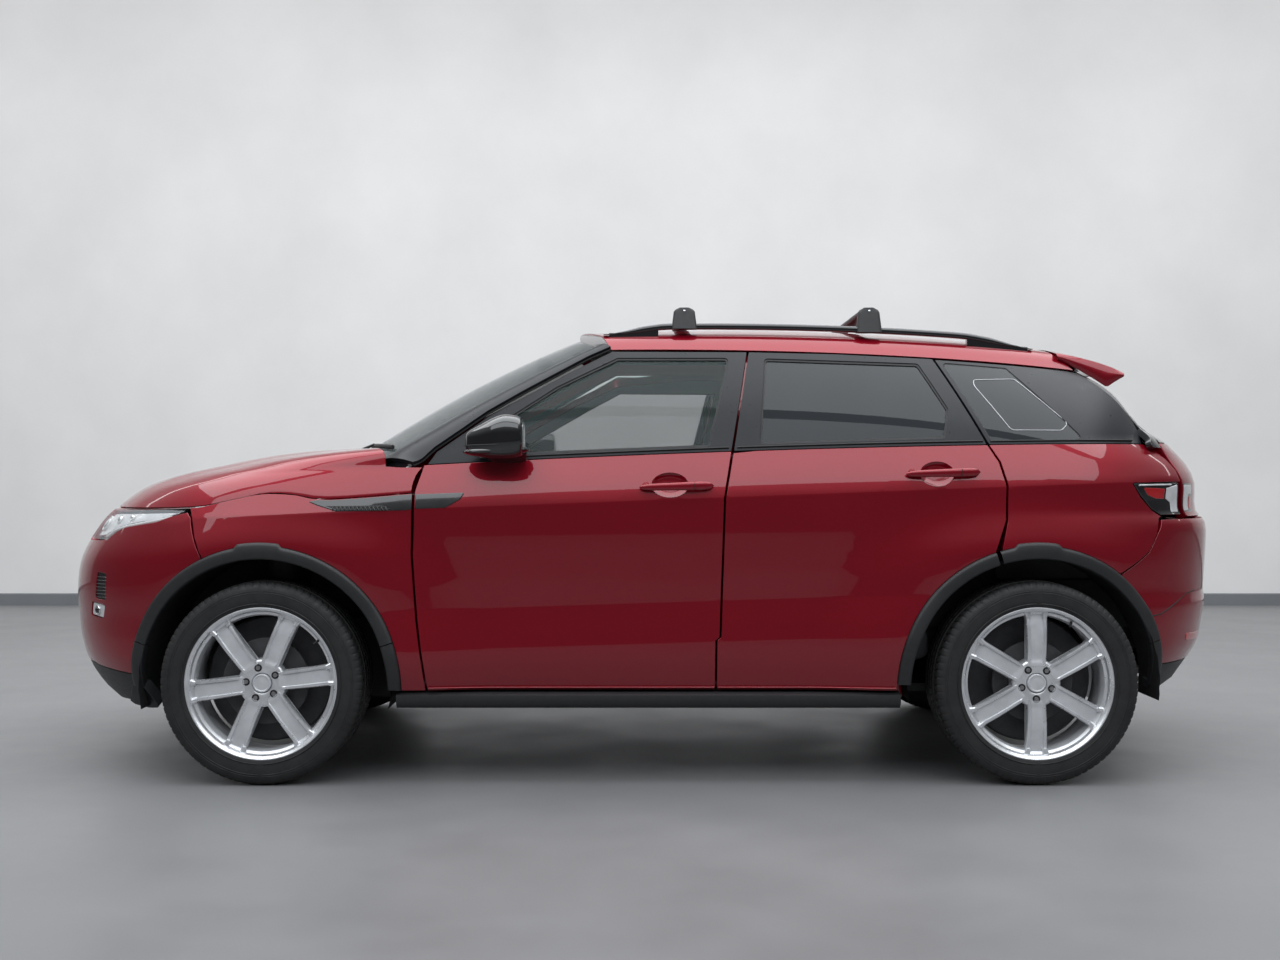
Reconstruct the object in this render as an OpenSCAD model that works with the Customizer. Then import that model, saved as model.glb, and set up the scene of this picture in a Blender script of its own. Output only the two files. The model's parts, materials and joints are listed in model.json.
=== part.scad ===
/* [Wheels] */
// Outside radius of the tyre
tyre_r = 350; // [342:1:354]
// Section width of the tyre
tyre_w = 235; // [215:5:245]
// Radius of the rim flange
rim_r = 260; // [245:1:266]
// Number of double spokes
spokes = 6; // [5:1:7]
// Radius of the brake disc
disc_r = 165; // [150:1:175]
// Radius of the lug circle
lug_circle = 54; // [50:0.5:58]
// Distance from the middle of the car to the middle of a tyre
half_track = 811; // [800:1:816]

/* [Body] */
// Width of the shut lines between panels
gap = 7; // [6:0.5:8]
// Thickness of a pressed skin
skin = 4; // [3:0.5:4.5]
// Thickness of the glass
glass = 5; // [4:0.5:6]
// Width of the wheel arch mouldings
moulding = 46; // [40:1:50]
// Radius of the wheel arch openings
arch_r = 432; // [426:1:438]

/* [Roof bars] */
// Position of the front bar
bar_front = 155; // [100:5:250]
// Position of the rear bar
bar_rear = 830; // [700:5:900]
// Width of a bar
bar_width = 60; // [40:2:80]
// Height of a bar
bar_height = 26; // [20:1:30]

/* [Cabin] */
// Radius of the steering wheel
steer_r = 188; // [175:1:195]
// Width of a front seat
seat_width = 500; // [460:10:520]
// Height of the front seat backs
seat_back = 560; // [500:10:600]

/* [Hidden] */
front_axle = -1306;
rear_axle = 1356;
hub_z = tyre_r;
arch_z = 345;
seat_gap = 0.3;
door_axis_f = -715;
door_axis_r = 315;
door_axis_y = 875;
door_axis_z = 685;
// The rear door hinges lean back with the pillar
door_tilt_r = 3;
bonnet_axis = [-800, 1100];
tail_axis = [1452, 1496];
king_y = half_track - 36;
frame_y = 775;
frame_t = 62;
floor_half = frame_y - frame_t - seat_gap;
liner_out = 7;
pin_r = 5;
far = 1200;

// Plan curve of the ends: a full ellipse of high order
plan_p = 8;
plan_q = 2.2;

function lerp(a, b, t) = a + (b - a) * t;
function unit(t) = max(0, min(1, t));
function smooth(t) = let (u = unit(t)) u * u * (3 - 2 * u);

// Smooth curve through a list of knots
function seg(t, k, i = 0) = (i >= len(k) - 2 || t < k[i + 1][0]) ? i : seg(t, k, i + 1);
function slope(k, i) =
    let (a = max(i - 1, 0), b = min(i + 1, len(k) - 1))
    (k[b][1] - k[a][1]) / (k[b][0] - k[a][0]);
function spline(t, k) =
    let (i = seg(t, k), h = k[i + 1][0] - k[i][0], u = unit((t - k[i][0]) / h))
    (1 + 2 * u) * (1 - u) ^ 2 * k[i][1] + u * (1 - u) ^ 2 * h * slope(k, i)
    + u ^ 2 * (3 - 2 * u) * k[i + 1][1] + u ^ 2 * (u - 1) * h * slope(k, i + 1);

// Centre line of the nose and bonnet: reach against height
nose = [[190, 1930], [250, 2040], [305, 2092], [360, 2125], [467, 2161], [552, 2171], [625, 2177],
    [700, 2173], [768, 2157], [850, 2110], [938, 2035], [1034, 1893], [1102, 1608], [1138, 1395],
    [1163, 1120],
    [1170, 950]];
// Centre line of the tail: reach against height
tail = [[255, 1940], [290, 2030], [360, 2088], [456, 2146], [524, 2158], [603, 2172], [640, 2166],
    [700, 2170], [870, 2177], [900, 2168], [940, 2134], [1030, 2131], [1074, 2119], [1122, 2087],
    [1191, 1995],
    [1237, 1904], [1373, 1775], [1450, 1640], [1500, 1500]];

// Lines along the side of the body
function z_low(x) = 485 + 0.031 * x;
function z_shoulder(x) = 975 + 0.0375 * x;
function z_belt(x) = 1140 + 0.04 * x - 0.0000095 * x * x;
function z_dlo(x) = 1513 - 0.000029 * (x - 50) ^ 2;
function z_edge(x) = 1569 - 0.000034 * (x - 200) ^ 2;
function z_crown(x) = 1634 - 0.00005 * (x - 330) ^ 2 - 0.000000012 * max(0, x - 700) ^ 3;

// Half width of the lower body at the middle of the car
function section(x, z) =
    let (zl = z_low(x), zs = z_shoulder(x), zb = z_belt(x))
    z < 310 ? 864 - (310 - z) * 0.4 :
    z < zl ? 906 - 42 * (1 - (z - 310) / (zl - 310)) ^ 1.5 :
    z < zs ? let (u = (z - zl) / (zs - zl)) lerp(906, 922, u) - 10 * sin(180 * u) * (1 - u) :
    z < zb ? 922 - 48 * ((z - zs) / (zb - zs)) ^ 1.6 : 874;
function reach(x, z) = x < 0 ? spline(z, nose) : spline(z, tail);
function plan(x, z) = (1 - min(0.9999, abs(x) / reach(x, z)) ^ plan_p) ^ (1 / plan_q);
function bulge(x, z, axle) =
    let (r = sqrt((x - axle) ^ 2 + (z - arch_z) ^ 2)) smooth((800 - r) / 320);
function flare(x, z) =
    30 * max(bulge(x, z, front_axle), bulge(x, z, rear_axle)) * smooth((1010 - z) / 230);

// Half width of the glazed upper body
function y_belt(x) = 874 * (1 - abs((x - 250) / 2050) ^ 6) ^ 0.5;
function y_dlo(x) = 652 * (1 - abs((x - 350) / 1750) ^ 4) ^ 0.5;
function house(x, z) =
    let (t = (z - z_belt(x)) / (z_dlo(x) - z_belt(x)), u = unit(t))
    t < 1 ? lerp(y_belt(x), y_dlo(x), u) + 88 * u * (1 - u) : y_dlo(x) - (z - z_dlo(x)) * 0.86;

// Half width of the whole side
function side(x, z) = z < z_belt(x) ? section(x, z) * plan(x, z) + flare(x, z) : house(x, z);

// Point of the wrapped ends at a share f of the centre reach
function share(f) = (1 - f ^ plan_p) ^ (1 / plan_q);
function end_point(dir, f, z, inset) =
    let (r = dir < 0 ? spline(z, nose) : spline(z, tail), x = dir * (r * f - inset * f ^ 2), s = share(f))
    [x, s * (section(x, z) - inset) + flare(x, z) * s ^ 6, z];
// Shares of the centre reach used from one flank round to the middle
flank = [0.66, 0.74, 0.81, 0.87, 0.915, 0.95, 0.98, 1];
wrap = concat([for (f = flank) [f, -1]], [for (i = [len(flank) - 2 : -1 : 0]) [flank[i], 1]]);
function wrap_point(dir, w, z, inset) =
    let (p = end_point(dir, w[0], z, inset)) [p[0], p[1] * w[1], p[2]];

// Closed sheet between two grids of points, rows by columns
module sheet(a, b) {
    m = len(a);
    n = len(a[0]);
    flat = concat([for (r = a) each r], [for (r = b) each r]);
    o = m * n;
    function q(p, r, s, t) = [[p, r, s], [p, s, t]];
    top = [for (i = [0 : m - 2]) for (j = [0 : n - 2])
        each q(i * n + j, i * n + j + 1, (i + 1) * n + j + 1, (i + 1) * n + j)];
    low = [for (i = [0 : m - 2]) for (j = [0 : n - 2])
        each q(o + i * n + j, o + (i + 1) * n + j, o + (i + 1) * n + j + 1, o + i * n + j + 1)];
    end = [for (j = [0 : n - 2]) each concat(
        q(j, o + j, o + j + 1, j + 1),
        q((m - 1) * n + j + 1, o + (m - 1) * n + j + 1, o + (m - 1) * n + j, (m - 1) * n + j))];
    rim = [for (i = [0 : m - 2]) each concat(
        q((i + 1) * n, o + (i + 1) * n, o + i * n, i * n),
        q(i * n + n - 1, o + i * n + n - 1, o + (i + 1) * n + n - 1, (i + 1) * n + n - 1))];
    faces = concat(top, low, end, rim);
    signed = [for (f = faces) cross(flat[f[0]], flat[f[1]]) * flat[f[2]]];
    turned = signed * [for (f = faces) 1] > 0;
    polyhedron(flat, [for (f = faces) turned ? [f[0], f[2], f[1]] : f], convexity = 6);
}

// Evenly spaced values
function steps(a, b, n) = [for (i = [0 : n]) lerp(a, b, i / n)];

// Sheet on the left side between two depth functions
module slab(fo, fi, x0, x1, z0, z1, dx, dz) {
    xs = steps(x0, x1, max(1, ceil((x1 - x0) / dx)));
    zs = steps(z0, z1, max(1, ceil((z1 - z0) / dz)));
    sheet([for (z = zs) [for (x = xs) [x, -fo(x, z), z]]],
        [for (z = zs) [for (x = xs) [x, -fi(x, z), z]]]);
}

// Sheet wrapped round the front or the rear
module wrapped(dir, z0, z1, dz, a, b) {
    zs = steps(z0, z1, max(1, ceil((z1 - z0) / dz)));
    outer = [for (z = zs) [for (w = wrap) wrap_point(dir, w, z, a)]];
    inner = [for (z = zs) [for (w = wrap) wrap_point(dir, w, z, b)]];
    sheet(outer, inner);
}

// Side, end and plan outlines carried through the car
module side_cut() rotate([90, 0, 0]) linear_extrude(far) children();
module both_cut() rotate([90, 0, 0]) translate([0, 0, -far]) linear_extrude(2 * far) children();
module end_cut(x0, x1) translate([x0, 0, 0]) rotate([90, 0, 90]) linear_extrude(x1 - x0) children();
arch_fn = 56;
module arch(axle, r) translate([axle, arch_z]) circle(r, $fn = arch_fn);
module grow(d) offset(delta = d) children();
module round_in(r) offset(r = r, $fn = 12) offset(delta = -r) children();
module nip(r) offset(delta = r, chamfer = true) offset(delta = -r) children();

// A panel pressed in one piece
module pressed() resize([0, 0, 0]) children();
module other_side() mirror([0, 1, 0]) children();
module pair() {
    children();
    other_side() children();
}

// Outlines on the side of the car, as length and height
module front_door_line() polygon([[-752, 1100], [-780, 1010], [-785, 790], [-769, 571], [-750, 420],
    [-738, 323],
    [252, 323], [252, 496], [266, 508], [281, 986], [309, 1141], [378, 1510], [-108, 1512],
    [-271, 1425],
    [-535, 1274], [-713, 1146]]);
module rear_door_full() polygon([[252 + gap, 323], [252 + gap, 496], [266 + gap, 508], [281 + gap, 986],
    [309 + gap, 1141], [378 + gap, 1510], [700, 1503], [1049, 1486], [1191, 1176], [1229, 1110],
    [1250, 1027],
    [1247, 910], [1206, 733], [1170, 600], [960, 323]]);
module rear_door_line() difference() {
    rear_door_full();
    arch(rear_axle, arch_r);
}
module front_window() round_in(14) polygon([[-660, 1130], [-382, 1136], [235, 1164], [314, 1488],
    [-85, 1488],
    [-300, 1380]]);
module rear_window() round_in(14) polygon([[407, 1170], [1050, 1192], [1074, 1295], [992, 1468],
    [440, 1486]]);
module quarter_window() round_in(16) polygon([[1071, 1468], [1205, 1196], [1552, 1200], [1390, 1452]]);
module lamp_side() polygon([[1712, 1034], [1740, 991], [1786, 945], [1827, 922], [2200, 922],
    [2200, 1043]]);
module bonnet_front() polygon([[-2200, 942], [-1526, 952], [-1420, 980], [-1310, 1000], [-1197, 997],
    [-1136, 985], [-1060, 982], [-783, 1003], [-783, 1400], [-2200, 1400]]);
module headlamp_side() polygon([[-2140, 922], [-1900, 931], [-1750, 936], [-1650, 940], [-1585, 943],
    [-1636, 925], [-1691, 905],
    [-1827, 884], [-1866, 867], [-1909, 838], [-2200, 830]]);
module bumper_side() polygon([[-2200, 150], [-2200, 928], [-1900, 933], [-1750, 938], [-1650, 942],
    [-1577, 945], [-1566, 917], [-1552, 849], [-1531, 798],
    [-1531, 150]]);
module rear_bumper_side() polygon([[2200, 200], [2200, 916], [1820, 916], [1807, 865], [1767, 796],
    [1721, 762],
    [1664, 726], [1640, 200]]);
module fender_side() difference() {
    polygon([[-1576 + gap, 960], [-1560 + gap, 917], [-1545 + gap, 849], [-1524 + gap, 798],
        [-1500, 600],
        [-1300, 323], [-738 - gap, 323], [-750 - gap, 420], [-769 - gap, 571], [-785 - gap, 790],
        [-780 - gap, 1010], [-783 - gap, 1100], [-1500, 1100]]);
    arch(front_axle, arch_r + moulding + seat_gap);
    grow(gap) bonnet_front();
}
module quarter_side() difference() {
    polygon([[1000, 1500], [1000, 600], [1600, 600], [1664, 726 + gap], [1721, 762 + gap],
        [1767, 796 + gap],
        [1800, 865], [1813, 922], [1905, 922], [1905, 1120], [1840, 1186], [1775, 1228], [1640, 1395],
        [1490, 1470], [1480, 1490]]);
    arch(rear_axle, arch_r + moulding + seat_gap);
    grow(seat_gap) lamp_side();
    grow(gap) rear_door_full();
}
// Aperture of the doors in the inner frame
module front_aperture() grow(-45) front_door_line();
module rear_aperture() grow(-45) rear_door_line();

// Door shells
function door_inner(x, z) =
    let (zb = z_belt(x)) lerp(790, side(x, z) - 32, smooth((z - zb + 70) / 60));
module door_sheet(x0, x1) {
    slab(function(x, z) side(x, z), function(x, z) side(x, z) - skin, x0, x1, 305, 1538, 287, 126);
}
module door_core(x0, x1) {
    slab(function(x, z) side(x, z) - skin / 2, function(x, z) door_inner(x, z), x0, x1, 305, 1538, 287, 126);
}
module front_door_shell() pressed() {
    difference() {
        union() {
            intersection() {
                door_sheet(-800, 400);
                side_cut() front_door_line();
            }
            intersection() {
                door_core(-800, 400);
                side_cut() intersection() {
                    grow(-9) front_door_line();
                    union() {
                        translate([door_axis_f + 10, 362]) square([935, 790]);
                        translate([door_axis_f + 10, 1137]) square([2000, 500]);
                    }
                }
            }
        }
        side_cut() front_window();
    }
    handle(118, 1026);
}
function axis_r(z) = door_axis_r + (z - door_axis_z) * tan(door_tilt_r);
module behind_axis(z0, z1, d) polygon([[axis_r(z0) + d, z0], [2300, z0], [2300, z1],
    [axis_r(z1) + d, z1]]);
module rear_door_shell() pressed() {
    difference() {
        union() {
            intersection() {
                door_sheet(240, 1270);
                side_cut() rear_door_line();
            }
            intersection() {
                door_core(240, 1270);
                side_cut() intersection() {
                    difference() {
                        grow(-9) rear_door_full();
                        arch(rear_axle, arch_r + liner_out + 11);
                    }
                    union() {
                        behind_axis(362, 1152, 10);
                        behind_axis(1137, 1637, 3);
                    }
                }
            }
        }
        side_cut() rear_window();
    }
    handle(1032, 1072);
}
// Hinge sleeves that ride on the pins
hinge_drops = [-215, 215];
module hinge_line(x, tilt) translate([x, -door_axis_y, door_axis_z]) rotate([0, tilt, 0]) children();
module hinge_sleeves(x, tilt) hinge_line(x, tilt) for (h = hinge_drops)
    translate([0, 0, h - 18]) difference() {
        cylinder(h = 36, r = 10 - seat_gap, $fn = 32);
        translate([0, 0, -1]) cylinder(h = 38, r = pin_r + 0.2, $fn = 32);
    }
// Pull handle standing off the skin on two feet
module handle(x, z) {
    y = side(x, z);
    translate([x, -y - 26, z]) hull() {
        translate([-118, 0, 0]) rotate([90, 0, 0]) cylinder(h = 12, r = 15, center = true, $fn = 12);
        translate([118, 0, 6]) rotate([90, 0, 0]) cylinder(h = 12, r = 17, center = true, $fn = 12);
    }
    for (d = [-95, 95]) translate([x + d - 11, -y - 24, z - 7]) cube([22, 42, 15]);
}
module door_front_left() color("firebrick") {
    front_door_shell();
    hinge_sleeves(door_axis_f, 0);
}
module door_front_right() color("firebrick") other_side() door_front_left();
module door_rear_left() color("firebrick") {
    rear_door_shell();
    hinge_sleeves(door_axis_r, door_tilt_r);
}
module door_rear_right() color("firebrick") other_side() door_rear_left();

// Side glass, set just inside the surface
module side_glass(x0, x1, z0, z1) slab(function(x, z) side(x, z) - 8, function(x, z) side(x, z) - 8 - glass,
    x0, x1, z0, z1, 260, 134);
module front_glass() pressed() intersection() {
    side_glass(-700, 340, 1100, 1500);
    side_cut() grow(-seat_gap) front_window();
}
module rear_glass() pressed() intersection() {
    side_glass(380, 1100, 1100, 1500);
    side_cut() grow(-seat_gap) rear_window();
}
module glass_front_left() color("lightblue") front_glass();
module glass_front_right() color("lightblue") other_side() front_glass();
module glass_rear_left() color("lightblue") rear_glass();
module glass_rear_right() color("lightblue") other_side() rear_glass();

// Door mirror: a rounded shell on a short arm from the belt
module mirror_one() {
    pressed() union() {
        hull() {
            translate([-480, -950, 1190]) scale([1, 1.05, 0.78]) sphere(70, $fn = 14);
            translate([-430, -1010, 1192]) scale([0.55, 0.55, 0.86]) sphere(84, $fn = 14);
            translate([-425, -900, 1192]) scale([0.5, 0.5, 0.8]) sphere(80, $fn = 14);
        }
        hull() {
            translate([-520, -side(-465, 1114) - 7, 1112]) cube([110, 4, 14]);
            translate([-500, -915, 1128]) cube([80, 20, 26]);
        }
    }
}
module mirror_left() color("black") mirror_one();
module mirror_right() color("black") other_side() mirror_one();

// Fixed body side: quarter panel, cant rail, screen pillar, inner frame and sill
function frame_out(x, z) = min(frame_y, side(x, z) - 42);
module side_slab(fo, fi) slab(fo, fi, -984, 1928, 244, 1599, 237, 143);
module frame_line() polygon([[-850, 285], [1000, 285], [1660, 640], [1700, 1000], [1715, 1190],
    [1560, 1430],
    [1430, 1480], [900, 1530], [200, 1540], [-110, 1505], [-300, 1418], [-560, 1274], [-720, 1172],
    [-850, 1128]]);
module inner_frame() intersection() {
    side_slab(function(x, z) frame_out(x, z), function(x, z) frame_out(x, z) - frame_t);
    side_cut() difference() {
        frame_line();
        front_aperture();
        rear_aperture();
        grow(8) quarter_window();
        arch(rear_axle, arch_r + liner_out + 1);
    }
}
module upper_and_quarter() intersection() {
    side_slab(function(x, z) side(x, z), function(x, z) side(x, z) - 50);
    side_cut() {
        quarter_side();
        difference() {
            polygon(concat([[-905, 1098], [-770, 1098], [-713 - gap, 1146],
                [-535 - gap, 1274 + gap / 2],
                [-271 - gap, 1425 + gap / 2], [-108, 1512 + gap], [378, 1510 + gap], [700, 1503 + gap],
                [1049, 1486 + gap], [1100, 1470], [1490, 1470]],
                [for (x = [1490, 1300, 1000, 700, 400, 100, -130]) [x, z_edge(x) - roof_skin + 5]],
                [[-250, 1480], [-560, 1335]]));
            grow(gap) front_door_line();
            grow(gap) rear_door_full();
        }
    }
}
module body_side() pressed() difference() {
    union() {
        inner_frame();
        upper_and_quarter();
    }
    side_cut() grow(seat_gap) quarter_window();
    translate([bonnet_axis[0], -790, bonnet_axis[1]]) rotate([90, 0, 0]) cylinder(h = 200, r = 18, $fn = 32);
    translate([-1000, -1000, 1000]) cube([1000 - 780, 168, 200]);
    gate_space();
}
module body_side_left() color("firebrick") body_side();
module body_side_right() color("firebrick") other_side() body_side();

// Roof skin with its crown, from the screen header to the tailgate
function roof_half(x) = y_dlo(x) - 50;
function roof_z(x, s) = z_crown(x) - (z_crown(x) - z_edge(x) - 6) * abs(s) ^ 2.4;
function roof_front(s) = -249 + 112 * s * s;
roof_skin = 26;
function roof_rear(s) = 1512 - 14 * s * s;
module roof_sheet(drop) {
    us = steps(0, 1, 7);
    ss = steps(-1, 1, 10);
    function pt(u, s, d) = let (x = lerp(roof_front(s), roof_rear(s), u))
        [x, s * roof_half(x), roof_z(x, s) - d];
    sheet([for (u = us) [for (s = ss) pt(u, s, drop)]], [for (u = us) [for (s = ss) pt(u, s, 0)]]);
}
module roof() color("firebrick") pressed() union() {
    roof_sheet(roof_skin);
    translate([1396, -450, 1488]) cube([44, 900, 52]);
}

// Front fenders between the bumper, bonnet and door
module fender() intersection() {
    slab(function(x, z) side(x, z), function(x, z) side(x, z) - skin, -1592, -735, 318, 1012, 143, 87);
    side_cut() fender_side();
}
module fenders() color("firebrick") pair() pressed() {
    fender();
    translate([-842, -920.5, 880]) cube([40, 920.5 - frame_y - seat_gap, 30]);
}

// Bonnet, a crowned cap that turns down to the shut line on each flank
bonnet_f = [0.37, 0.45, 0.53, 0.61, 0.69, 0.77, 0.84, 0.9, 0.945, 0.98, 1];
bonnet_w = concat([for (f = bonnet_f) [f, -1]],
    [for (i = [len(bonnet_f) - 2 : -1 : 0]) [bonnet_f[i], 1]]);
shut = [[-2200, 950], [-1560, 958], [-1420, 986], [-1310, 1006], [-1197, 1003], [-1136, 991],
    [-1060, 988],
    [-780, 1009]];
function nose_z(r) = let (k = [for (i = [len(nose) - 1 : -1 : 6]) [nose[i][1], nose[i][0]]]) spline(r, k);
function cowl_x(s) = -1135 + 250 * abs(s) ^ 2.2;
function low_r(f) = let (z0 = spline(-2035 * f, shut), r0 = spline(z0, nose), z1 = spline(-r0 * f, shut))
    spline(z1, nose);
function bonnet_point(f, d, u, inset) =
    let (s = share(f), r = lerp(low_r(f), max(min(-cowl_x(s) / f, 1664), 960), u), z = nose_z(r), x = -r * f,
        y = s * section(x, z))
    [x + inset * 0.25 * (1 - u), d * (y - skin * inset / 14 * s ^ 8), z - inset * (1 - s ^ 8)];
module bonnet_panel() {
    us = [0, 0.06, 0.2, 0.4, 0.6, 0.8, 1];
    sheet([for (u = us) [for (w = bonnet_w) bonnet_point(w[0], w[1], u, 0)]],
        [for (u = us) [for (w = bonnet_w) bonnet_point(w[0], w[1], u, 14)]]);
}
module bonnet_lug() translate([bonnet_axis[0], -830, bonnet_axis[1]]) rotate([90, 0, 0]) difference() {
    cylinder(h = 36, r = 11, $fn = 20);
    translate([0, 0, -1]) cylinder(h = 40, r = pin_r + 0.25, $fn = 20);
}
module bonnet() color("firebrick") pressed() union() {
    intersection() {
        bonnet_panel();
        translate([-2300, -1000, 800]) cube([2300 - 783 - gap, 2000, 600]);
    }
    pair() {
        bonnet_lug();
        translate([bonnet_axis[0] - 24, -868, bonnet_axis[1] - 60]) cube([30, 30, 52]);
    }
}

// Front bumper with its intakes
module front_openings() {
    upper_opening();
    lower_opening();
    side_opening();
    mirror([1, 0]) side_opening();
}
module front_bumper() color("firebrick") pressed() difference() {
    union() {
        wrapped(-1, 300, 950, 110, 0, 29);
        for (d = [-1, 1]) translate([-2062, d * 510 - 25, 455]) cube([2062 - 1990 - seat_gap, 50, 55]);
    }
    both_cut() difference() {
        translate([-2300, 0]) square([1000, 1100]);
        bumper_side();
    }
    both_cut() arch(front_axle, arch_r + moulding + seat_gap);
    pair() headlamp_block(seat_gap);
    end_cut(-2300, -1800) front_openings();
}

module upper_opening() nip(20) polygon([[-480, 812], [480, 812], [455, 905], [-455, 905]]);
module lower_opening() nip(24) polygon([[-400, 440], [400, 440], [500, 640], [-500, 640]]);
module side_opening() nip(16) polygon([[-800, 540], [-590, 500], [-640, 720], [-800, 700]]);
module slots(w, z0, z1, rows, cols) for (i = [0 : rows - 1]) for (j = [0 : cols - 1])
    translate([lerp(-w, w, (j + 0.5) / cols), lerp(z0, z1, (i + 0.5) / rows)])
    square([2 * w / cols - 10, (z1 - z0) / rows - 9], center = true);
module grille_plate(z0, z1) pressed() intersection() {
    wrapped(-1, z0, z1, 90, 10, 22);
    end_cut(-2300, -1810) children();
}
module grilles() color("dimgray") {
    grille_plate(800, 915) difference() {
        grow(-seat_gap) upper_opening();
        slots(430, 822, 895, 2, 2);
    }
    grille_plate(430, 650) difference() {
        grow(-seat_gap) lower_opening();
        slots(380, 452, 628, 3, 2);
    }
    pair() pressed() difference() {
        grille_plate(490, 730) grow(-seat_gap) side_opening();
        fog_lamp(seat_gap);
    }
}
// Headlamps and fog lamps in the front corners
module headlamp_block(d) intersection() {
    side_cut() {
        grow(d) headlamp_side();
        translate([0, max(0, d) * 60]) headlamp_side();
    }
    translate([-2300, -1000, 700]) cube([1000, 1000 - 480 + d, 400]);
}
module headlamp() pressed() intersection() {
    wrapped(-1, 806, 961, 31, 1, 45);
    headlamp_block(-seat_gap);
}
module fog_lamp(d = 0) translate([-1895, -690, 585]) rotate([0, -90, 18])
    cylinder(h = 78, r = 34 + d, $fn = 40);
module front_lamps() color("white") pair() {
    headlamp();
    fog_lamp();
}

// Rear bumper and tail lamps
module rear_bumper() color("firebrick") pressed() intersection() {
    union() {
        wrapped(1, 300, 914, 102, 0, 28);
        for (d = [-1, 1]) translate([1980 + seat_gap, d * 400 - 30, 455]) cube([105, 60, 55]);
    }
    both_cut() difference() {
        rear_bumper_side();
        arch(rear_axle, arch_r + moulding + seat_gap);
    }
}
module tail_lamp() pressed() intersection() {
    wrapped(1, 903, 1063, 32, 1, 45);
    side_cut() lamp_side();
    translate([1600, -1000, 800]) cube([600, 1000 - 706, 400]);
}
module tail_lamps() color("red") pair() tail_lamp();

// Tailgate: lower panel, glazed upper frame and spoiler
function gate_p(z) = lerp(8, 12, smooth((z - 1100) / 150));
function gate_edge(z) = lookup(z, [[880, 690], [1040, 698], [1186, 690], [1300, 640], [1440, 560],
    [1520, 520]]);
function gate_point(s, z, inset) =
    let (e = gate_edge(z), y = s * e, w = lerp(section(2000, z), 905, smooth((z - 1100) / 150)),
        r = spline(z, tail) - inset)
    [r * (1 - abs(y / w) ^ plan_q) ^ (1 / gate_p(z)), y, z];
module gate_sheet(z0, z1, a, b, nz, s) {
    zs = steps(z0, z1, nz);
    ss = steps(-s, s, 10);
    function face(d) = [for (z = zs) [for (t = ss) gate_point(t, z, d)]];
    sheet(face(a), face(b));
}
module gate_window() round_in(30) polygon([[-590, 1200], [590, 1200], [470, 1420], [-470, 1420]]);
function spoiler_top(u, s) =
    let (x = lerp(roof_rear(s) + gap, 1812 - 50 * s * s, u), fall = z_crown(1512) - z_edge(1512) - 6)
    [x, s * lerp(560, 545, u), z_crown(1512) - fall * abs(s) ^ 2.4 - 62 * u ^ 1.3];
function spoiler_low(u, s) = spoiler_top(u, s) - [0, 0, lerp(76 - 42 * s ^ 4, 22, u)];
module spoiler() {
    us = steps(0, 1, 4);
    ss = steps(-1, 1, 10);
    sheet([for (u = us) [for (s = ss) spoiler_low(u, s)]],
        [for (u = us) [for (s = ss) spoiler_top(u, s)]]);
}
// Room for the tailgate and its shut lines in the body
module gate_space() gate_sheet(905, 1500, -60, 44 + 2 * gap, 7, 1 + 2 * gap / 560);
module tailgate() color("firebrick") pressed() difference() {
    union() {
        difference() {
            union() {
                intersection() {
                    gate_sheet(918, 1475, 0, 44, 7, 1);
                    translate([roof_rear(0) + gap, -900, 800]) cube([900, 1800, 800]);
                }
                spoiler();
            }
            roof_sweep();
        }
        pair() goose_neck();
    }
    end_cut(1500, 2300) gate_window();
}
// Room round the hinge line, so that the spoiler passes over the roof edge
module roof_sweep() {
    edge = [for (s = steps(-1, 1, 10)) spoiler_top(0, s)];
    rim = [for (p = edge) [norm([p[0] - tail_axis[0], p[2] - tail_axis[1]]) - 0.6, p[1]]];
    translate([tail_axis[0], 0, tail_axis[1]]) rotate([90, 0, 0])
        rotate_extrude($fn = 40) polygon(concat([[0, rim[0][1]]], rim, [[0, -rim[0][1]]]));
}
// Arms that pass under the roof edge and round it as the tailgate lifts
arm_y = 375;
arm_w = 40;
module goose_neck() translate([tail_axis[0], -arm_y, tail_axis[1]]) rotate([90, 0, 0])
    linear_extrude(arm_w) difference() {
        union() {
            circle(11, $fn = 20);
            polygon([[-9, 4], [9, 4], [32, -72], [128, -48], [128, -66], [20, -92]]);
        }
        circle(pin_r + 0.25, $fn = 20);
    }
module tailgate_glass() color("darkslategray") pressed() intersection() {
    gate_sheet(1180, 1440, 8, 8 + glass, 4, 1);
    end_cut(1500, 2300) grow(-seat_gap) gate_window();
}

// Windscreen and quarter glass
function screen_edge(t) = let (bow = t * (1 - t))
    [lerp(-900, -150, t), lerp(795, 578, t) + 18 * bow, lerp(1108, 1523, t) + 70 * bow];
function screen_mid(t) = [lerp(-1105, -258, t), 0, lerp(1140, 1596, t) + 120 * t * (1 - t)];
function screen_point(t, s, d) =
    let (e = screen_edge(t), m = screen_mid(t), k = abs(s) ^ 2.2)
    [lerp(m[0], e[0], k) + 0.48 * d, s * e[1], lerp(m[2], e[2], k) - 0.87 * d];
module screen() {
    ts = steps(0, 1, 4);
    ss = steps(-1, 1, 8);
    function face(d) = [for (t = ts) [for (s = ss) screen_point(t, s, d)]];
    sheet(face(glass), face(0));
}
module fixed_glass() color("lightblue") {
    pressed() screen();
    pair() pressed() intersection() {
        side_glass(1050, 1580, 1180, 1480);
        side_cut() quarter_window();
    }
}

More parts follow.
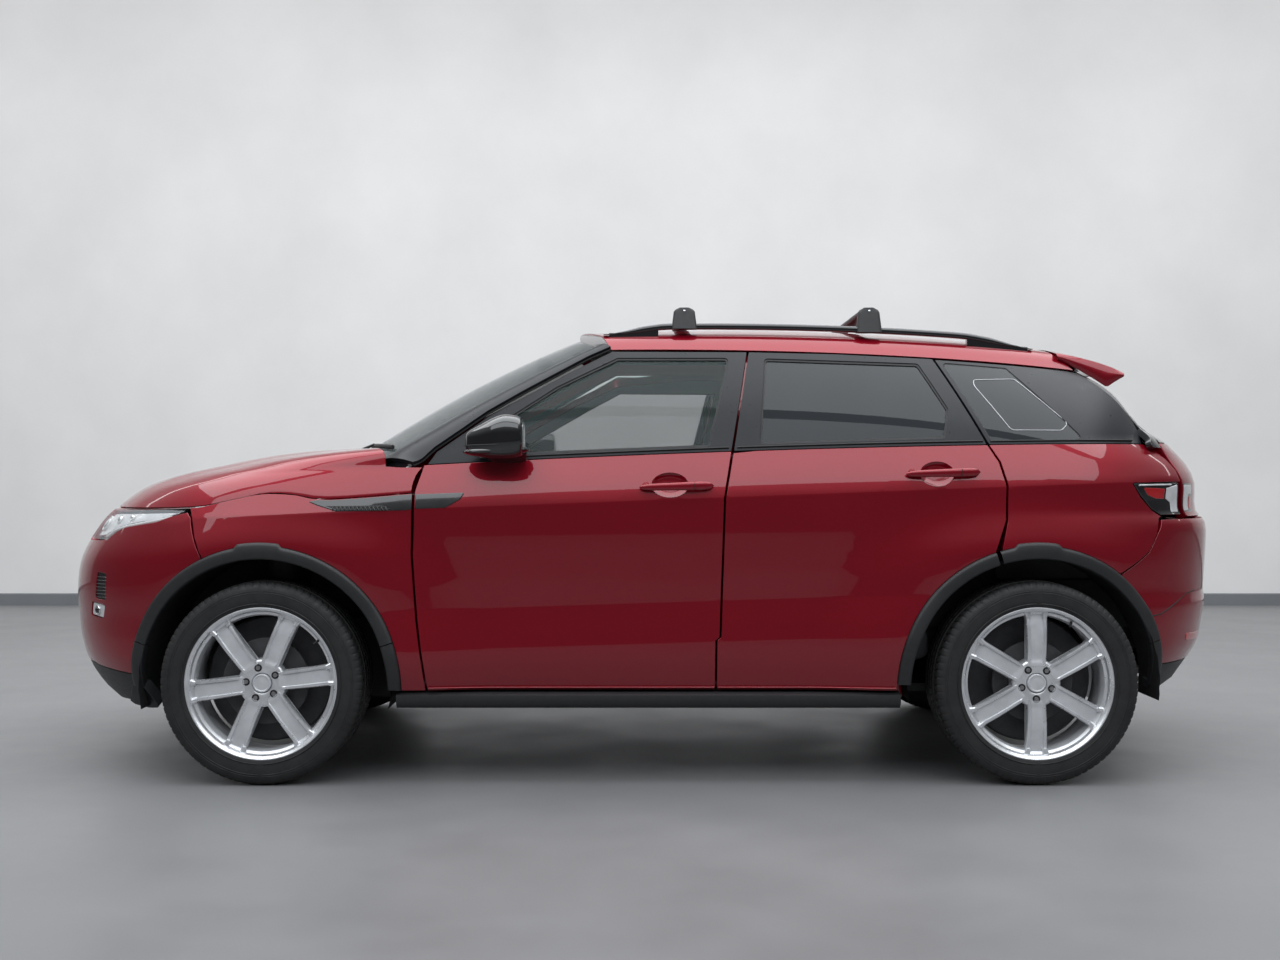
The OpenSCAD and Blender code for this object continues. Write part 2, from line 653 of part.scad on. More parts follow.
// Black mouldings round the arches, along the sills and under the bumpers
function ring_point(axle, k, r, d) =
    let (a = 360 * k / arch_fn, x = axle + r * cos(a), z = arch_z + r * sin(a)) [x, -side(x, z) - d, z];
module arch_ring(axle, last) {
    ks = [0 : last];
    function face(d) = [for (r = [arch_r, arch_r + moulding]) [for (k = ks) ring_point(axle, k, r, d)]];
    sheet(face(-skin), face(11));
}
module sill_trim() rotate([90, 0, 90]) translate([0, 0, -846]) linear_extrude(846 + 890)
    polygon([[-frame_y - seat_gap, 262], [-860, 258], [-896, 276], [-900, 308], [-885, 316],
        [-frame_y - seat_gap, 316]]);
module valances() {
    pressed() intersection() {
        wrapped(-1, 205, 300 - seat_gap, 32, 4, 40);
        both_cut() difference() {
            translate([-2300, 0]) square([2300 - 1740, 400]);
            arch(front_axle, arch_r);
        }
    }
    pressed() intersection() {
        wrapped(1, 260, 300 - seat_gap, 20, 4, 40);
        both_cut() difference() {
            translate([1740, 0]) square([600, 400]);
            arch(rear_axle, arch_r);
        }
    }
}
module arch_mouldings() color("dimgray") pair() pressed() {
    arch_ring(front_axle, arch_fn / 2);
    arch_ring(rear_axle, 16);
}
module lower_trim() color("dimgray") {
    pair() sill_trim();
    valances();
}

// Inner arch shells above the wheels
module liner(axle, inner, outer) translate([axle, -inner, arch_z]) rotate([90, 0, 0]) difference() {
    cylinder(h = outer - inner, r = arch_r + liner_out, $fn = 96);
    translate([0, 0, -1]) cylinder(h = outer - inner + 2, r = arch_r + liner_out - 4, $fn = 96);
    translate([-600, -600, -2]) cube([1200, 600 + 300, 1000]);
}
module arch_liners() color("black") pair() {
    liner(front_axle, 645, 885);
    translate([front_axle + 63, -652, 764]) cube([7, 652 - 490 - seat_gap, 13]);
    liner(rear_axle, 645, 870);
}
// Roof rails with cross bars clamped on
rail_x = [-120, -40, 40, 150, 400, 700, 950, 1150, 1290, 1420];
rail_w = 26;
rail_h = 20;
function rail_y(x) = roof_half(x) - 34;
function rail_low(x) = roof_z(x, rail_y(x) / roof_half(x)) + seat_gap
    + 15 * smooth((x + 60) / 160) * smooth((1360 - x) / 200);
module rail() {
    a = [for (x = rail_x) [x, -rail_y(x), rail_low(x)]];
    w = [0, -rail_w, 0];
    sheet([for (p = a) [p, p + w]], [for (p = a) [p + [0, 0, rail_h], p + w + [0, 0, rail_h]]]);
}
bar_z = z_crown(330) + 18;
module bar(x) {
    y = rail_y(x) + rail_w / 2;
    top = rail_low(x) + rail_h;
    translate([x - bar_width / 2, -y, bar_z]) cube([bar_width, 2 * y, bar_height]);
    for (d = [-1, 1]) translate([x - bar_width / 2, d * y - 24, top + seat_gap])
        cube([bar_width, 48, bar_z + 10 - top]);
}
module roof_rack() color("black") {
    pair() pressed() rail();
    bar(bar_front);
    bar(bar_rear);
}
// Wipers lying along the base of the windscreen
module wiper(s0, s1, pivot) {
    ss = steps(s0, s1, 5);
    function lie(s, t, d) = screen_point(lerp(0.075, 0.035, (s - s0) / (s1 - s0)) + t, s, d);
    function face(d) = [for (s = ss) [lie(s, 0, d), lie(s, 0.02, d)]];
    pressed() sheet(face(-1), face(-14));
    base = [-1091, pivot, 1077 + seat_gap];
    translate(base) cylinder(h = 70, r = 8, $fn = 24);
    tip = lie(lerp(s0, s1, 0.45), 0.01, -14 - 6 - seat_gap);
    pressed() hull() {
        translate(base + [0, 0, 62]) cylinder(h = 8, r = 8, $fn = 12);
        translate(tip) sphere(5, $fn = 8);
    }
}
module wipers() color("black") {
    wiper(-0.86, -0.08, -330);
    wiper(-0.02, 0.72, 330);
}
// Floor pan, tunnel, bulkhead, rails and boot floor
bulkhead_x = -866;
boot_half = 640;
module underbody() color("gray") {
    fh = floor_half;
    translate([bulkhead_x, -fh, 285]) cube([930 - bulkhead_x, 2 * fh, 28]);
    translate([bulkhead_x, -120, 300]) cube([670 - bulkhead_x, 240, 120]);
    translate([bulkhead_x, -fh, 285]) cube([25, 2 * fh, 790]);
    translate([920, -boot_half, 285]) cube([320, 2 * boot_half, 28]);
    translate([1210, -boot_half, 300]) cube([30, 2 * boot_half, 230]);
    translate([1210, -boot_half, 520]) cube([720, 2 * boot_half, 30]);
    translate([-1110, -700, 1055]) cube([1110 + bulkhead_x + 10, 1400, 22]);
    for (d = [-1, 1]) {
        translate([-1950, d * 455 - 35, 420]) cube([1950 + bulkhead_x + 5, 70, 120]);
        translate([front_axle - 70, d * 455 - 35, 530]) cube([140, 70, 350 - seat_gap]);
        translate([1215, d * 520 - 35, 430]) cube([735, 70, 100]);
        for (x = [-620, 760]) translate([x, d * 735, 262]) cylinder(h = 23 - seat_gap, r = 32, $fn = 40);
    }
    translate([-1990, -540, 420]) cube([50, 1080, 120]);
    translate([1940, -540, 440]) cube([40, 1080, 90]);
    translate([-1920, -470, 420]) cube([40, 940, 500]);
}
module engine() color("silver") translate([-1800, -330, 285 + seat_gap]) cube([640, 660, 600]);

// Suspension
hub_in = 112;
module front_suspension() color("dimgray") {
    translate([-1420, -470, 215]) cube([230, 940, 70]);
    pair() {
        for (x = [-1390, -1220]) translate([x, -440, 280]) cylinder(h = 140 - seat_gap, r = 25, $fn = 40);
        pressed() hull() {
            translate([-1380, -430, 225]) cylinder(h = 28, r = 28, $fn = 16);
            translate([-1230, -430, 225]) cylinder(h = 28, r = 28, $fn = 16);
            translate([front_axle, -king_y + 46, 190]) cylinder(h = 24, r = 30, $fn = 16);
        }
        translate([front_axle, -king_y, 190]) cylinder(h = 25 - seat_gap, r = 12, $fn = 40);
        translate([front_axle, -king_y + 4, 190]) translate([-10, 0, 0]) cube([20, 40, 20]);
        translate([front_axle, -590, 420]) rotate([-3, 0, 0]) cylinder(h = 470, r = 28, $fn = 40);
        translate([front_axle, -572, 640]) cylinder(h = 250, r = 62, $fn = 40);
        translate([front_axle - 70, -640, 880]) cube([140, 220, 20]);
        translate([front_axle - 12, -690, 410]) cube([24, 110, 40]);
    }
}
module rear_suspension() color("dimgray") {
    translate([1290, -520, 255]) cube([190, 1040, 65]);
    pair() {
        for (x = [1320, 1450]) translate([x, -500, 310]) cylinder(h = 120 - seat_gap, r = 20, $fn = 40);
        translate([1262, -705, 290]) cube([190, 285, 40]);
        translate([rear_axle, -(half_track - hub_in), hub_z]) rotate([90, 0, 0])
            cylinder(h = 50, r = 62, $fn = 48);
        translate([rear_axle, -(half_track - hub_in + 50), hub_z]) rotate([90, 0, 0])
            cylinder(h = 40 - seat_gap, r = 24, $fn = 48);
        translate([1425, -622, 320]) cylinder(h = 200 - seat_gap, r = 26, $fn = 40);
        translate([1310, -618, 320]) cylinder(h = 200 - seat_gap, r = 50, $fn = 40);
    }
}
module exhaust() color("silver") {
    translate([-900, 150, 221]) rotate([0, 90, 0]) cylinder(h = 2640, r = 27, $fn = 32);
    translate([1730, -360, 300]) rotate([-90, 0, 0]) cylinder(h = 720, r = 85, $fn = 48);
    for (d = [-1, 1]) translate([1760, d * 300, 300]) rotate([0, 90, 0]) cylinder(h = 130, r = 36, $fn = 40);
}
// Seats and dashboard
module one_seat(y) {
    pressed() translate([0, y, 0]) hull() {
        translate([-260, -seat_width / 2, 470]) cube([500, seat_width, 60]);
        translate([-240, -seat_width / 2 + 40, 380]) cube([460, seat_width - 80, 100]);
        translate([-250, -seat_width / 2 + 30, 520]) cube([480, seat_width - 60, 40]);
    }
    pressed() {
        translate([233.5, y, 500]) rotate([0, 20, 0]) hull() {
            translate([0, -seat_width / 2, 20]) cube([120, seat_width, seat_back - 120]);
            translate([20, -seat_width / 2 + 80, 0]) cube([90, seat_width - 160, seat_back]);
        }
        translate([440, y, 1082]) rotate([0, 14, 0]) hull() {
            translate([0, -120, 0]) cube([80, 240, 130]);
            translate([15, -105, -20]) cube([50, 210, 170]);
        }
        for (d = [-55, 55]) translate([483, y + d, 975]) rotate([0, -4, 0])
            cylinder(h = 110, r = 7, $fn = 12);
    }
    translate([-200, y - 200, 313]) cube([380, 400, 67]);
}
module front_seats() color("darkgray") {
    one_seat(-365);
    one_seat(365);
}
module rear_seat() color("darkgray") {
    pressed() hull() {
        translate([690, -610, 480]) cube([480, 1220, 70]);
        translate([720, -600, 380]) cube([440, 1200, 100]);
    }
    pressed() {
        translate([1070, 0, 540]) rotate([0, 20, 0]) hull() {
            translate([0, -600, 0]) cube([120, 1200, 480]);
            translate([10, -540, 0]) cube([90, 1080, 540]);
        }
        for (y = [-380, 0, 380]) {
            translate([1260, y, 1090]) rotate([0, 14, 0]) hull() {
                translate([0, -120, 0]) cube([70, 240, 100]);
                translate([10, -100, -20]) cube([50, 200, 140]);
            }
            for (d = [-50, 50]) translate([1299, y + d, 1000]) rotate([0, -5, 0])
                cylinder(h = 90, r = 7, $fn = 12);
        }
    }
    translate([740, -560, 313]) cube([300, 1120, 70]);
}
module dashboard() color("dimgray") {
    pressed() hull() {
        translate([bulkhead_x + 25 + seat_gap, -690, 800]) cube([60, 1380, 220]);
        translate([-620, -690, 860]) cube([60, 1380, 120]);
        translate([-780, -690, 640]) cube([60, 1380, 60]);
    }
    translate([-700, -108, 420 + seat_gap]) cube([1000, 216, 170]);
    translate([-640, -365, 905]) rotate([0, 66, 0]) cylinder(h = 161.5, r = 30, $fn = 32);
}

// Hinge pins and brackets on the fixed body
module door_pins(x, tilt) hinge_line(x, tilt) for (h = hinge_drops) {
    translate([0, 0, h - 30]) cylinder(h = 60, r = pin_r, $fn = 32);
    for (d = [-28, 20]) translate([-12, -6, h + d]) cube([16, 6 + door_axis_y - frame_y - seat_gap, 8]);
}
module hinge_pins() color("silver") {
    pair() {
        door_pins(door_axis_f, 0);
        door_pins(door_axis_r, door_tilt_r);
        translate([bonnet_axis[0], -775 - seat_gap, bonnet_axis[1]]) rotate([90, 0, 0])
            cylinder(h = 95, r = pin_r, $fn = 32);
        translate([tail_axis[0], -arm_y + 15, tail_axis[1]]) rotate([90, 0, 0])
            cylinder(h = arm_w + 30, r = pin_r, $fn = 32);
        for (y = [arm_y - 15, arm_y + arm_w + 7]) translate([1440 + seat_gap, -y - 8, tail_axis[1] - 8])
            cube([tail_axis[0] - 1440 - seat_gap, 8, 16]);
    }
}

// Steering knuckles with hub and brake caliper
module knuckle() {
    translate([front_axle, -king_y, 215]) cylinder(h = 270, r = 12, $fn = 40);
    translate([front_axle, -(half_track - hub_in), hub_z]) rotate([90, 0, 0])
        cylinder(h = king_y - half_track + hub_in, r = 62, $fn = 48);
    translate([front_axle, -king_y + 1, hub_z]) rotate([90, 0, 0])
        cylinder(h = half_track - hub_in + 90 - king_y + 1 - seat_gap, r = 24, $fn = 48);
}
module knuckle_left() color("gray") knuckle();
module knuckle_right() color("gray") other_side() knuckle();
module steering_wheel() color("dimgray") translate([-472, -365, 980]) rotate([0, -24, 0]) rotate([0, 90, 0]) {
    rotate_extrude($fn = 72) translate([steer_r - 16, 0]) circle(16, $fn = 24);
    translate([0, 0, -22]) cylinder(h = 34, r = 62, $fn = 48);
    for (a = [0, 120, 240]) rotate(a + 90) translate([50, -16, -8]) cube([steer_r - 60, 32, 16]);
}

// Wheels: tyre, rim with double spokes, brake disc
module tyre() rotate([90, 0, 0]) rotate_extrude($fn = 120) {
    h = tyre_w / 2;
    polygon([[rim_r - 14, -h + 20], [rim_r + 6, -h + 8], [lerp(rim_r, tyre_r, 0.45), -h],
        [tyre_r - 28, -h + 10],
        [tyre_r - 8, -h + 28], [tyre_r, -h + 56], [tyre_r, h - 56], [tyre_r - 8, h - 28],
        [tyre_r - 28, h - 10],
        [lerp(rim_r, tyre_r, 0.45), h], [rim_r + 6, h - 8], [rim_r - 14, h - 20]]);
}
module rim() {
    h = tyre_w / 2;
    rotate([90, 0, 0]) {
        rotate_extrude($fn = 120) polygon([[rim_r - 15, -h + 20], [rim_r - 15, -h + 60],
            [rim_r - 34, -h + 80],
            [rim_r - 34, h - 50], [rim_r - 15, h - 34], [rim_r - 15, h - 20], [rim_r, h - 10],
            [rim_r, h - 4],
            [rim_r - 10, h - 4], [rim_r - 22, h - 20], [rim_r - 26, h - 40], [rim_r - 42, h - 56],
            [rim_r - 42, -h + 76], [rim_r - 22, -h + 54], [rim_r - 22, -h + 20]]);
        for (i = [0 : spokes - 1]) rotate(i * 360 / spokes) for (d = [-1, 1])
            translate([0, 0, h - 48]) linear_extrude(36)
            polygon([[52, d * 4], [rim_r - 24, d * 26], [rim_r - 24, d * 50], [52, d * 28]]);
        translate([0, 0, h - 52]) difference() {
            cylinder(h = 34, r = 78, $fn = 60);
            for (i = [0 : 4]) rotate(i * 72) translate([lug_circle, 0, 22])
                cylinder(h = 20, r = 13, $fn = 24);
        }
        translate([0, 0, -20]) cylinder(h = h - 30, r = 66, $fn = 60);
        translate([0, 0, -22]) cylinder(h = 24, r = disc_r, $fn = 96);
    }
}
module at_wheel(x, d) translate([x, d * half_track, hub_z]) scale([1, -d, 1]) children();
module tyre_front_left() color("black") at_wheel(front_axle, -1) tyre();
module tyre_front_right() color("black") at_wheel(front_axle, 1) tyre();
module tyre_rear_left() color("black") at_wheel(rear_axle, -1) tyre();
module tyre_rear_right() color("black") at_wheel(rear_axle, 1) tyre();
module rim_front_left() color("silver") at_wheel(front_axle, -1) rim();
module rim_front_right() color("silver") at_wheel(front_axle, 1) rim();
module rim_rear_left() color("silver") at_wheel(rear_axle, -1) rim();
module rim_rear_right() color("silver") at_wheel(rear_axle, 1) rim();

underbody();
body_side_left();
body_side_right();
roof();
fenders();
front_bumper();
rear_bumper();
grilles();
front_lamps();
tail_lamps();
fixed_glass();
arch_mouldings();
lower_trim();
arch_liners();
roof_rack();
wipers();
engine();
front_suspension();
rear_suspension();
exhaust();
front_seats();
rear_seat();
dashboard();
hinge_pins();
door_front_left();
door_front_right();
door_rear_left();
door_rear_right();
glass_front_left();
glass_front_right();
glass_rear_left();
glass_rear_right();
mirror_left();
mirror_right();
tailgate();
tailgate_glass();
bonnet();
knuckle_left();
knuckle_right();
steering_wheel();
rim_front_left();
rim_front_right();
rim_rear_left();
rim_rear_right();
tyre_front_left();
tyre_front_right();
tyre_rear_left();
tyre_rear_right();
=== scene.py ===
"""Compact sport utility vehicle: the finished look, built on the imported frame.

Mesh code works in millimetres in the frame's axes: +X to the rear, +Y to the vehicle's right, +Z up.
Pieces of the left side are built once and mirrored.
"""
import json
import math

import bpy
import numpy as np
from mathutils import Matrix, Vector
from mathutils.geometry import delaunay_2d_cdt


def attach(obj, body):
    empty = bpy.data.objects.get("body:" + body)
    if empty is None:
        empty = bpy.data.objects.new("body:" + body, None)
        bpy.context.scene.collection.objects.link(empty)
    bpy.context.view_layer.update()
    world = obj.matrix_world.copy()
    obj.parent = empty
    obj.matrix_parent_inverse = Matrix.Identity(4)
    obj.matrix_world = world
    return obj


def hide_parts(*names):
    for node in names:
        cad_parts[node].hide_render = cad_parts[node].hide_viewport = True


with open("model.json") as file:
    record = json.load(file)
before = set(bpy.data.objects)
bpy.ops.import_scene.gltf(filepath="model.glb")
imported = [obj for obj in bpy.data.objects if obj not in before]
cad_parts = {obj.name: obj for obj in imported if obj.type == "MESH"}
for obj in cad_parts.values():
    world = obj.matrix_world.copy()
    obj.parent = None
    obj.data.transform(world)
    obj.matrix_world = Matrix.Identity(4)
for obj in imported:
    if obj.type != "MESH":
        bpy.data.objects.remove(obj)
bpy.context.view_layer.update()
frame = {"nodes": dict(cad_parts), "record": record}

MM = 0.001
FLIP = np.array([-1.0, 1.0])
SIDES = (FLIP, FLIP * FLIP)

# Wheels and arches
FRONT_AXLE, REAR_AXLE = -1306.0, 1356.0
HUB_Z, HALF_TRACK, TYRE_W = 350.0, 811.0, 235.0
ARCH_Z, ARCH_R, MOULDING = 345.0, 432.0, 46.0
PANEL_ARCH = ARCH_R + MOULDING + 0.5

# Half widths of the body side, and how its ends are rounded in plan
SILL_Z, SILL_Y, LOW_Y, SHOULDER_Y, BELT_Y = 310, 864, 906, 922, 874
FOLD_RISE = 140.0
END_X, END_Y = 8, 2.2
BELT_DROP = 5.0

# Reach of the nose and of the tail in the middle plane, by height
NOSE = np.array([[190, 1930], [250, 2040], [305, 2092], [360, 2125], [467, 2161], [552, 2171], [625, 2177],
                 [700, 2173], [768, 2157], [850, 2110], [938, 2035], [1034, 1893], [1102, 1608], [1138, 1395],
                 [1163, 1120], [1170, 950]], float)
TAIL = np.array([[255, 1940], [290, 2030], [360, 2088], [456, 2146], [524, 2158], [603, 2172], [640, 2166],
                 [700, 2170], [870, 2177], [900, 2168], [940, 2134], [1030, 2131], [1074, 2119], [1122, 2087],
                 [1191, 1995], [1237, 1904], [1373, 1775], [1450, 1640], [1500, 1500]], float)
NOSE_BY_REACH = NOSE[:5:-1, ::-1].copy()
# Height of the bonnet's shut line, by length
SHUT = np.array([[-2200, 950], [-1560, 958], [-1420, 986], [-1310, 1006], [-1197, 1003], [-1136, 991],
                 [-1060, 988], [-780, 1009]], float)


# Plain number helpers
def lerp(a, b, t):
    return a + (b - a) * t


def smooth(t):
    u = np.clip(t, 0.0, 1.0)
    return u * u * (3 - 2 * u)


def soft(w, power):
    """Cosine or sine squared off towards a box."""
    return np.sign(w) * np.abs(w) ** power


def turn(n):
    """Cosines and sines of n even steps round a circle."""
    a = np.linspace(0, 2 * np.pi, n, endpoint=False)
    return np.cos(a), np.sin(a)


def spline(t, knots):
    """Smooth curve through knots, sorted by their first number."""
    t = np.asarray(t, float)
    k, v = knots[:, 0], knots[:, 1]
    n = len(k)
    lo, hi = np.maximum(np.arange(n) - 1, 0), np.minimum(np.arange(n) + 1, n - 1)
    slope = (v[hi] - v[lo]) / (k[hi] - k[lo])
    i = np.clip(np.searchsorted(k, t, side="right") - 1, 0, n - 2)
    h = k[i + 1] - k[i]
    u = np.clip((t - k[i]) / h, 0, 1)
    w = 1 - u
    return (1 + 2 * u) * w * w * v[i] + u * w * w * h * slope[i] + u * u * (3 - 2 * u) * v[i + 1] \
        + u * u * (u - 1) * h * slope[i + 1]


# Surface of the body: lines along its length, from the sill to the roof
def z_low(x):
    return 485 + 0.031 * x


def z_fold(x):
    return z_low(x) + FOLD_RISE


def z_shoulder(x):
    return 975 + 0.0375 * x


def z_belt(x):
    return 1140 + 0.04 * x - 0.0000095 * x * x


def z_dlo(x):
    """Top of the side windows."""
    return 1513 - 0.000029 * (x - 50) ** 2


def z_edge(x):
    return 1569 - 0.000034 * (x - 200) ** 2


def z_crown(x):
    return 1634 - 0.00005 * (x - 330) ** 2 - 0.000000012 * np.maximum(0, x - 700) ** 3


def y_dlo(x):
    return 652 * np.sqrt(np.maximum(0, 1 - np.abs((x - 350) / 1750) ** 4))


def roof_half(x):
    return y_dlo(x) - 50


def roof_z(x, s):
    """Height of the roof skin at a share s of its half width."""
    crown = z_crown(x)
    return crown - (crown - z_edge(x) - 6) * s ** 2.4


SIDE_CREASES = (z_low, z_fold, z_shoulder)


def section(x, z):
    """Half width of the lower body away from its rounded ends."""
    zl, zs, zb = z_low(x), z_shoulder(x), z_belt(x)
    low = LOW_Y - (LOW_Y - SILL_Y) * np.clip(1 - (z - SILL_Z) / (zl - SILL_Z), 0, 2) ** 1.5
    u = np.clip((z - zl) / (zs - zl), 0, 1)
    mid = lerp(LOW_Y, SHOULDER_Y, u) - 10 * np.sin(np.pi * u) * (1 - u)
    mid = mid - 3.5 * np.clip(1 - np.abs(z - z_fold(x)) / 80, 0, 1)
    t = np.clip((z - zs) / (zb - zs), 0, 1)
    top = SHOULDER_Y - (SHOULDER_Y - BELT_Y) * t ** 1.25
    foot = SILL_Y - (SILL_Z - z) * 0.4
    return np.where(z < SILL_Z, foot, np.where(z < zl, low, np.where(z < zs, mid, top)))


def plan(x, z):
    """Share of the half width that the rounded ends leave."""
    reach = np.where(x < 0, spline(z, NOSE), spline(z, TAIL))
    return (1 - np.minimum(0.9999, np.abs(x) / reach) ** END_X) ** (1 / END_Y)


def flare(x, z):
    """Swelling of the panels over the wheels."""
    def bulge(axle):
        return smooth((800 - np.hypot(x - axle, z - ARCH_Z)) / 320)
    return 30 * np.maximum(bulge(FRONT_AXLE), bulge(REAR_AXLE)) * smooth((1010 - z) / 230)


def house(x, z):
    """Half width above the belt line."""
    zb, zd = z_belt(x), z_dlo(x)
    taper = np.sqrt(np.maximum(0.01, 1 - np.abs((x - 250) / 2050) ** 6))
    y_b = np.minimum(BELT_Y * taper, BELT_Y * plan(x, zb))
    t = (z - zb) / (zd - zb)
    u = np.clip(t, 0, 1)
    yd = np.minimum(y_dlo(x), y_b - 20)
    return np.where(t < 1, lerp(y_b, yd, u) + 88 * u * (1 - u), yd - (z - zd) * 0.86)


def side(x, z):
    x, z = np.asarray(x, float), np.asarray(z, float)
    return np.where(z < z_belt(x), section(x, z) * plan(x, z) + flare(x, z), house(x, z))


def on_side(x, z, out):
    """One point of the left side, moved outward."""
    return [x, -float(side(x, z)) - out, z]


def side_surf(p):
    """Left side of the car from length and height."""
    return np.stack([p[:, 0], -side(p[:, 0], p[:, 1]), p[:, 1]], 1)


def frame_surf(p):
    """Outer face of the inner frame behind the doors."""
    y = np.minimum(775, side(p[:, 0], p[:, 1]) - 42)
    return np.stack([p[:, 0], -y, p[:, 1]], 1)


def with_normals(surf, p, h=0.6):
    """Points and outward normals of a surface."""
    p = np.asarray(p, float)
    du, dv = np.array([h, 0.0]), np.array([0.0, h])
    n = np.cross(surf(p + du) - surf(p - du), surf(p + dv) - surf(p - dv))
    return surf(p), n / np.maximum(np.linalg.norm(n, axis=1, keepdims=True), 1e-12)


def lifted(surf, d):
    """The same surface moved outward by d."""
    def moved(p):
        pos, nor = with_normals(surf, p)
        return pos + nor * d
    return moved


# The wrapped ends, unrolled: length round the corner against height
def corner(phi):
    """Shares of the reach and of the half width at an angle round an end."""
    return np.cos(phi) ** (2 / END_X), np.sin(phi) ** (2 / END_Y)


PHI = np.linspace(0, math.radians(84), 600)
END_REACH, END_HALF = 2170, 915
ROUND = np.concatenate([[0], np.cumsum(np.hypot(*(np.diff(size * share) for size, share in
                                                  zip((END_REACH, END_HALF), corner(PHI)))))])


def end_surf(direction, reach):
    def surf(p):
        z = p[:, 1]
        f, s = corner(np.interp(np.abs(p[:, 0]), ROUND, PHI))
        x = direction * spline(z, reach) * f
        y = s * section(x, z) + flare(x, z) * s ** 6
        return np.stack([x, direction * np.sign(p[:, 0]) * y, z], 1)
    return surf


FRONT, REAR = end_surf(-1, NOSE), end_surf(1, TAIL)


def dense(points, step=24.0):
    """Open run of points with more points between."""
    points = np.asarray(points, float)
    out = [points[0]]
    for a, c in zip(points[:-1], points[1:]):
        n = max(1, int(np.linalg.norm(c - a) / step))
        out += [lerp(a, c, k / n) for k in range(1, n + 1)]
    return np.array(out)


def closed(points):
    points = np.asarray(points, float)
    return np.vstack([points, points[:1]])


def from_side(reach, pts):
    """Unrolled places of side-view points on the positive half of an end."""
    pts = np.asarray(pts, float)
    f = np.minimum(np.abs(pts[:, 0]) / spline(pts[:, 1], reach), 1.0)
    return np.stack([np.interp(np.arccos(f ** (END_X / 2)), PHI, ROUND), pts[:, 1]], 1)


def from_end(pts):
    """Unrolled places of end-view points, given as half width and height."""
    pts = np.asarray(pts, float)
    s = np.clip(np.abs(pts[:, 0]) / END_HALF, 0, 1)
    return np.stack([np.sign(pts[:, 0]) * np.interp(np.arcsin(s ** (END_Y / 2)), PHI, ROUND), pts[:, 1]], 1)


def nose_run(pts, step=24.0):
    return from_side(NOSE, dense(pts, step))


def tail_run(pts, step=24.0):
    return from_side(TAIL, dense(pts, step))


def end_run(pts, step=24.0):
    return from_end(dense(pts, step))


def whole(half):
    """Whole outline from the positive half, given from bottom middle to top middle."""
    return np.concatenate([half, half[::-1] * FLIP])


# Flat outlines
def ccw(poly):
    poly = np.asarray(poly, float)
    x, y = poly[:, 0], poly[:, 1]
    return poly if np.sum(x * np.roll(y, -1) - np.roll(x, -1) * y) > 0 else poly[::-1]


def rounded(poly, r, n=5):
    """Closed outline with its corners rounded."""
    poly = ccw(poly)
    out = []
    m = len(poly)
    for i in range(m):
        a, p, c = poly[i - 1], poly[i], poly[(i + 1) % m]
        u, v = a - p, c - p
        lu, lv = np.linalg.norm(u), np.linalg.norm(v)
        u, v = u / lu, v / lv
        half = math.acos(np.clip(np.dot(u, v), -1, 1)) / 2
        if half > math.radians(84) or r <= 0:
            out.append(p)
            continue
        t = min(r / math.tan(half), 0.45 * lu, 0.45 * lv)
        s, e = p + u * t, p + v * t
        for k in range(n + 1):
            w = k / n
            out.append((1 - w) ** 2 * s + 2 * w * (1 - w) * p + w * w * e)
    return np.array(out)


def resample(poly, step):
    """Closed outline with no edge longer than step."""
    out = []
    for a, c in zip(poly, np.roll(poly, -1, axis=0)):
        n = max(1, int(math.ceil(np.linalg.norm(c - a) / step)))
        out += [lerp(a, c, k / n) for k in range(n)]
    out = np.array(out)
    keep = np.linalg.norm(out - np.roll(out, 1, axis=0), axis=1) > 0.25
    return out[keep]


def outward(poly):
    """Unit directions to the right of travel at each corner, with the mitre length."""
    d = np.roll(poly, -1, axis=0) - poly
    d /= np.linalg.norm(d, axis=1, keepdims=True)
    n = np.stack([d[:, 1], -d[:, 0]], 1)
    m = n + np.roll(n, 1, axis=0)
    m /= np.maximum(np.linalg.norm(m, axis=1, keepdims=True), 1e-9)
    return m, 1 / np.maximum(np.sum(m * n, axis=1), 0.5)


def offset(poly, d):
    """Outline moved to the right of travel by d."""
    m, scale = outward(poly)
    return poly + m * (scale * d)[:, None]


def grown(poly, d):
    return offset(ccw(poly), d)


def inside(poly, pts):
    x, y = pts[:, 0][:, None], pts[:, 1][:, None]
    x0, y0 = poly[:, 0][None], poly[:, 1][None]
    x1, y1 = np.roll(poly[:, 0], -1)[None], np.roll(poly[:, 1], -1)[None]
    hit = (y0 > y) != (y1 > y)
    with np.errstate(divide="ignore", invalid="ignore"):
        cross = x < x0 + (y - y0) * (x1 - x0) / (y1 - y0)
    return (np.sum(hit & cross, axis=1) % 2) == 1


def within(loops, pts):
    """True inside the first loop and outside the others."""
    keep = inside(loops[0], pts)
    for hole in loops[1:]:
        keep &= ~inside(hole, pts)
    return keep


def distance(poly, pts):
    best = np.full(len(pts), 1e9)
    for p, q in zip(poly, np.roll(poly, -1, axis=0)):
        d = q - p
        t = np.clip(((pts - p) @ d) / max(d @ d, 1e-9), 0, 1)
        best = np.minimum(best, np.linalg.norm(pts - (p + t[:, None] * d), axis=1))
    return best


def ellipse(x, z, rx, rz):
    c, s = turn(40)
    return np.stack([x + rx * c, z + rz * s], 1)


def arch_run(axle, r, a0, a1, n=26):
    """Arc round a wheel arch between two angles in degrees."""
    a = np.radians(np.linspace(a0, a1, n))
    return np.stack([axle + r * np.cos(a), ARCH_Z + r * np.sin(a)], 1)


def belt_run(x0, x1, lift=0.0, n=12):
    """Run along the line where the red panels end below the windows."""
    xs = np.linspace(x0, x1, n)
    return np.stack([xs, z_belt(xs) - BELT_DROP + lift], 1)


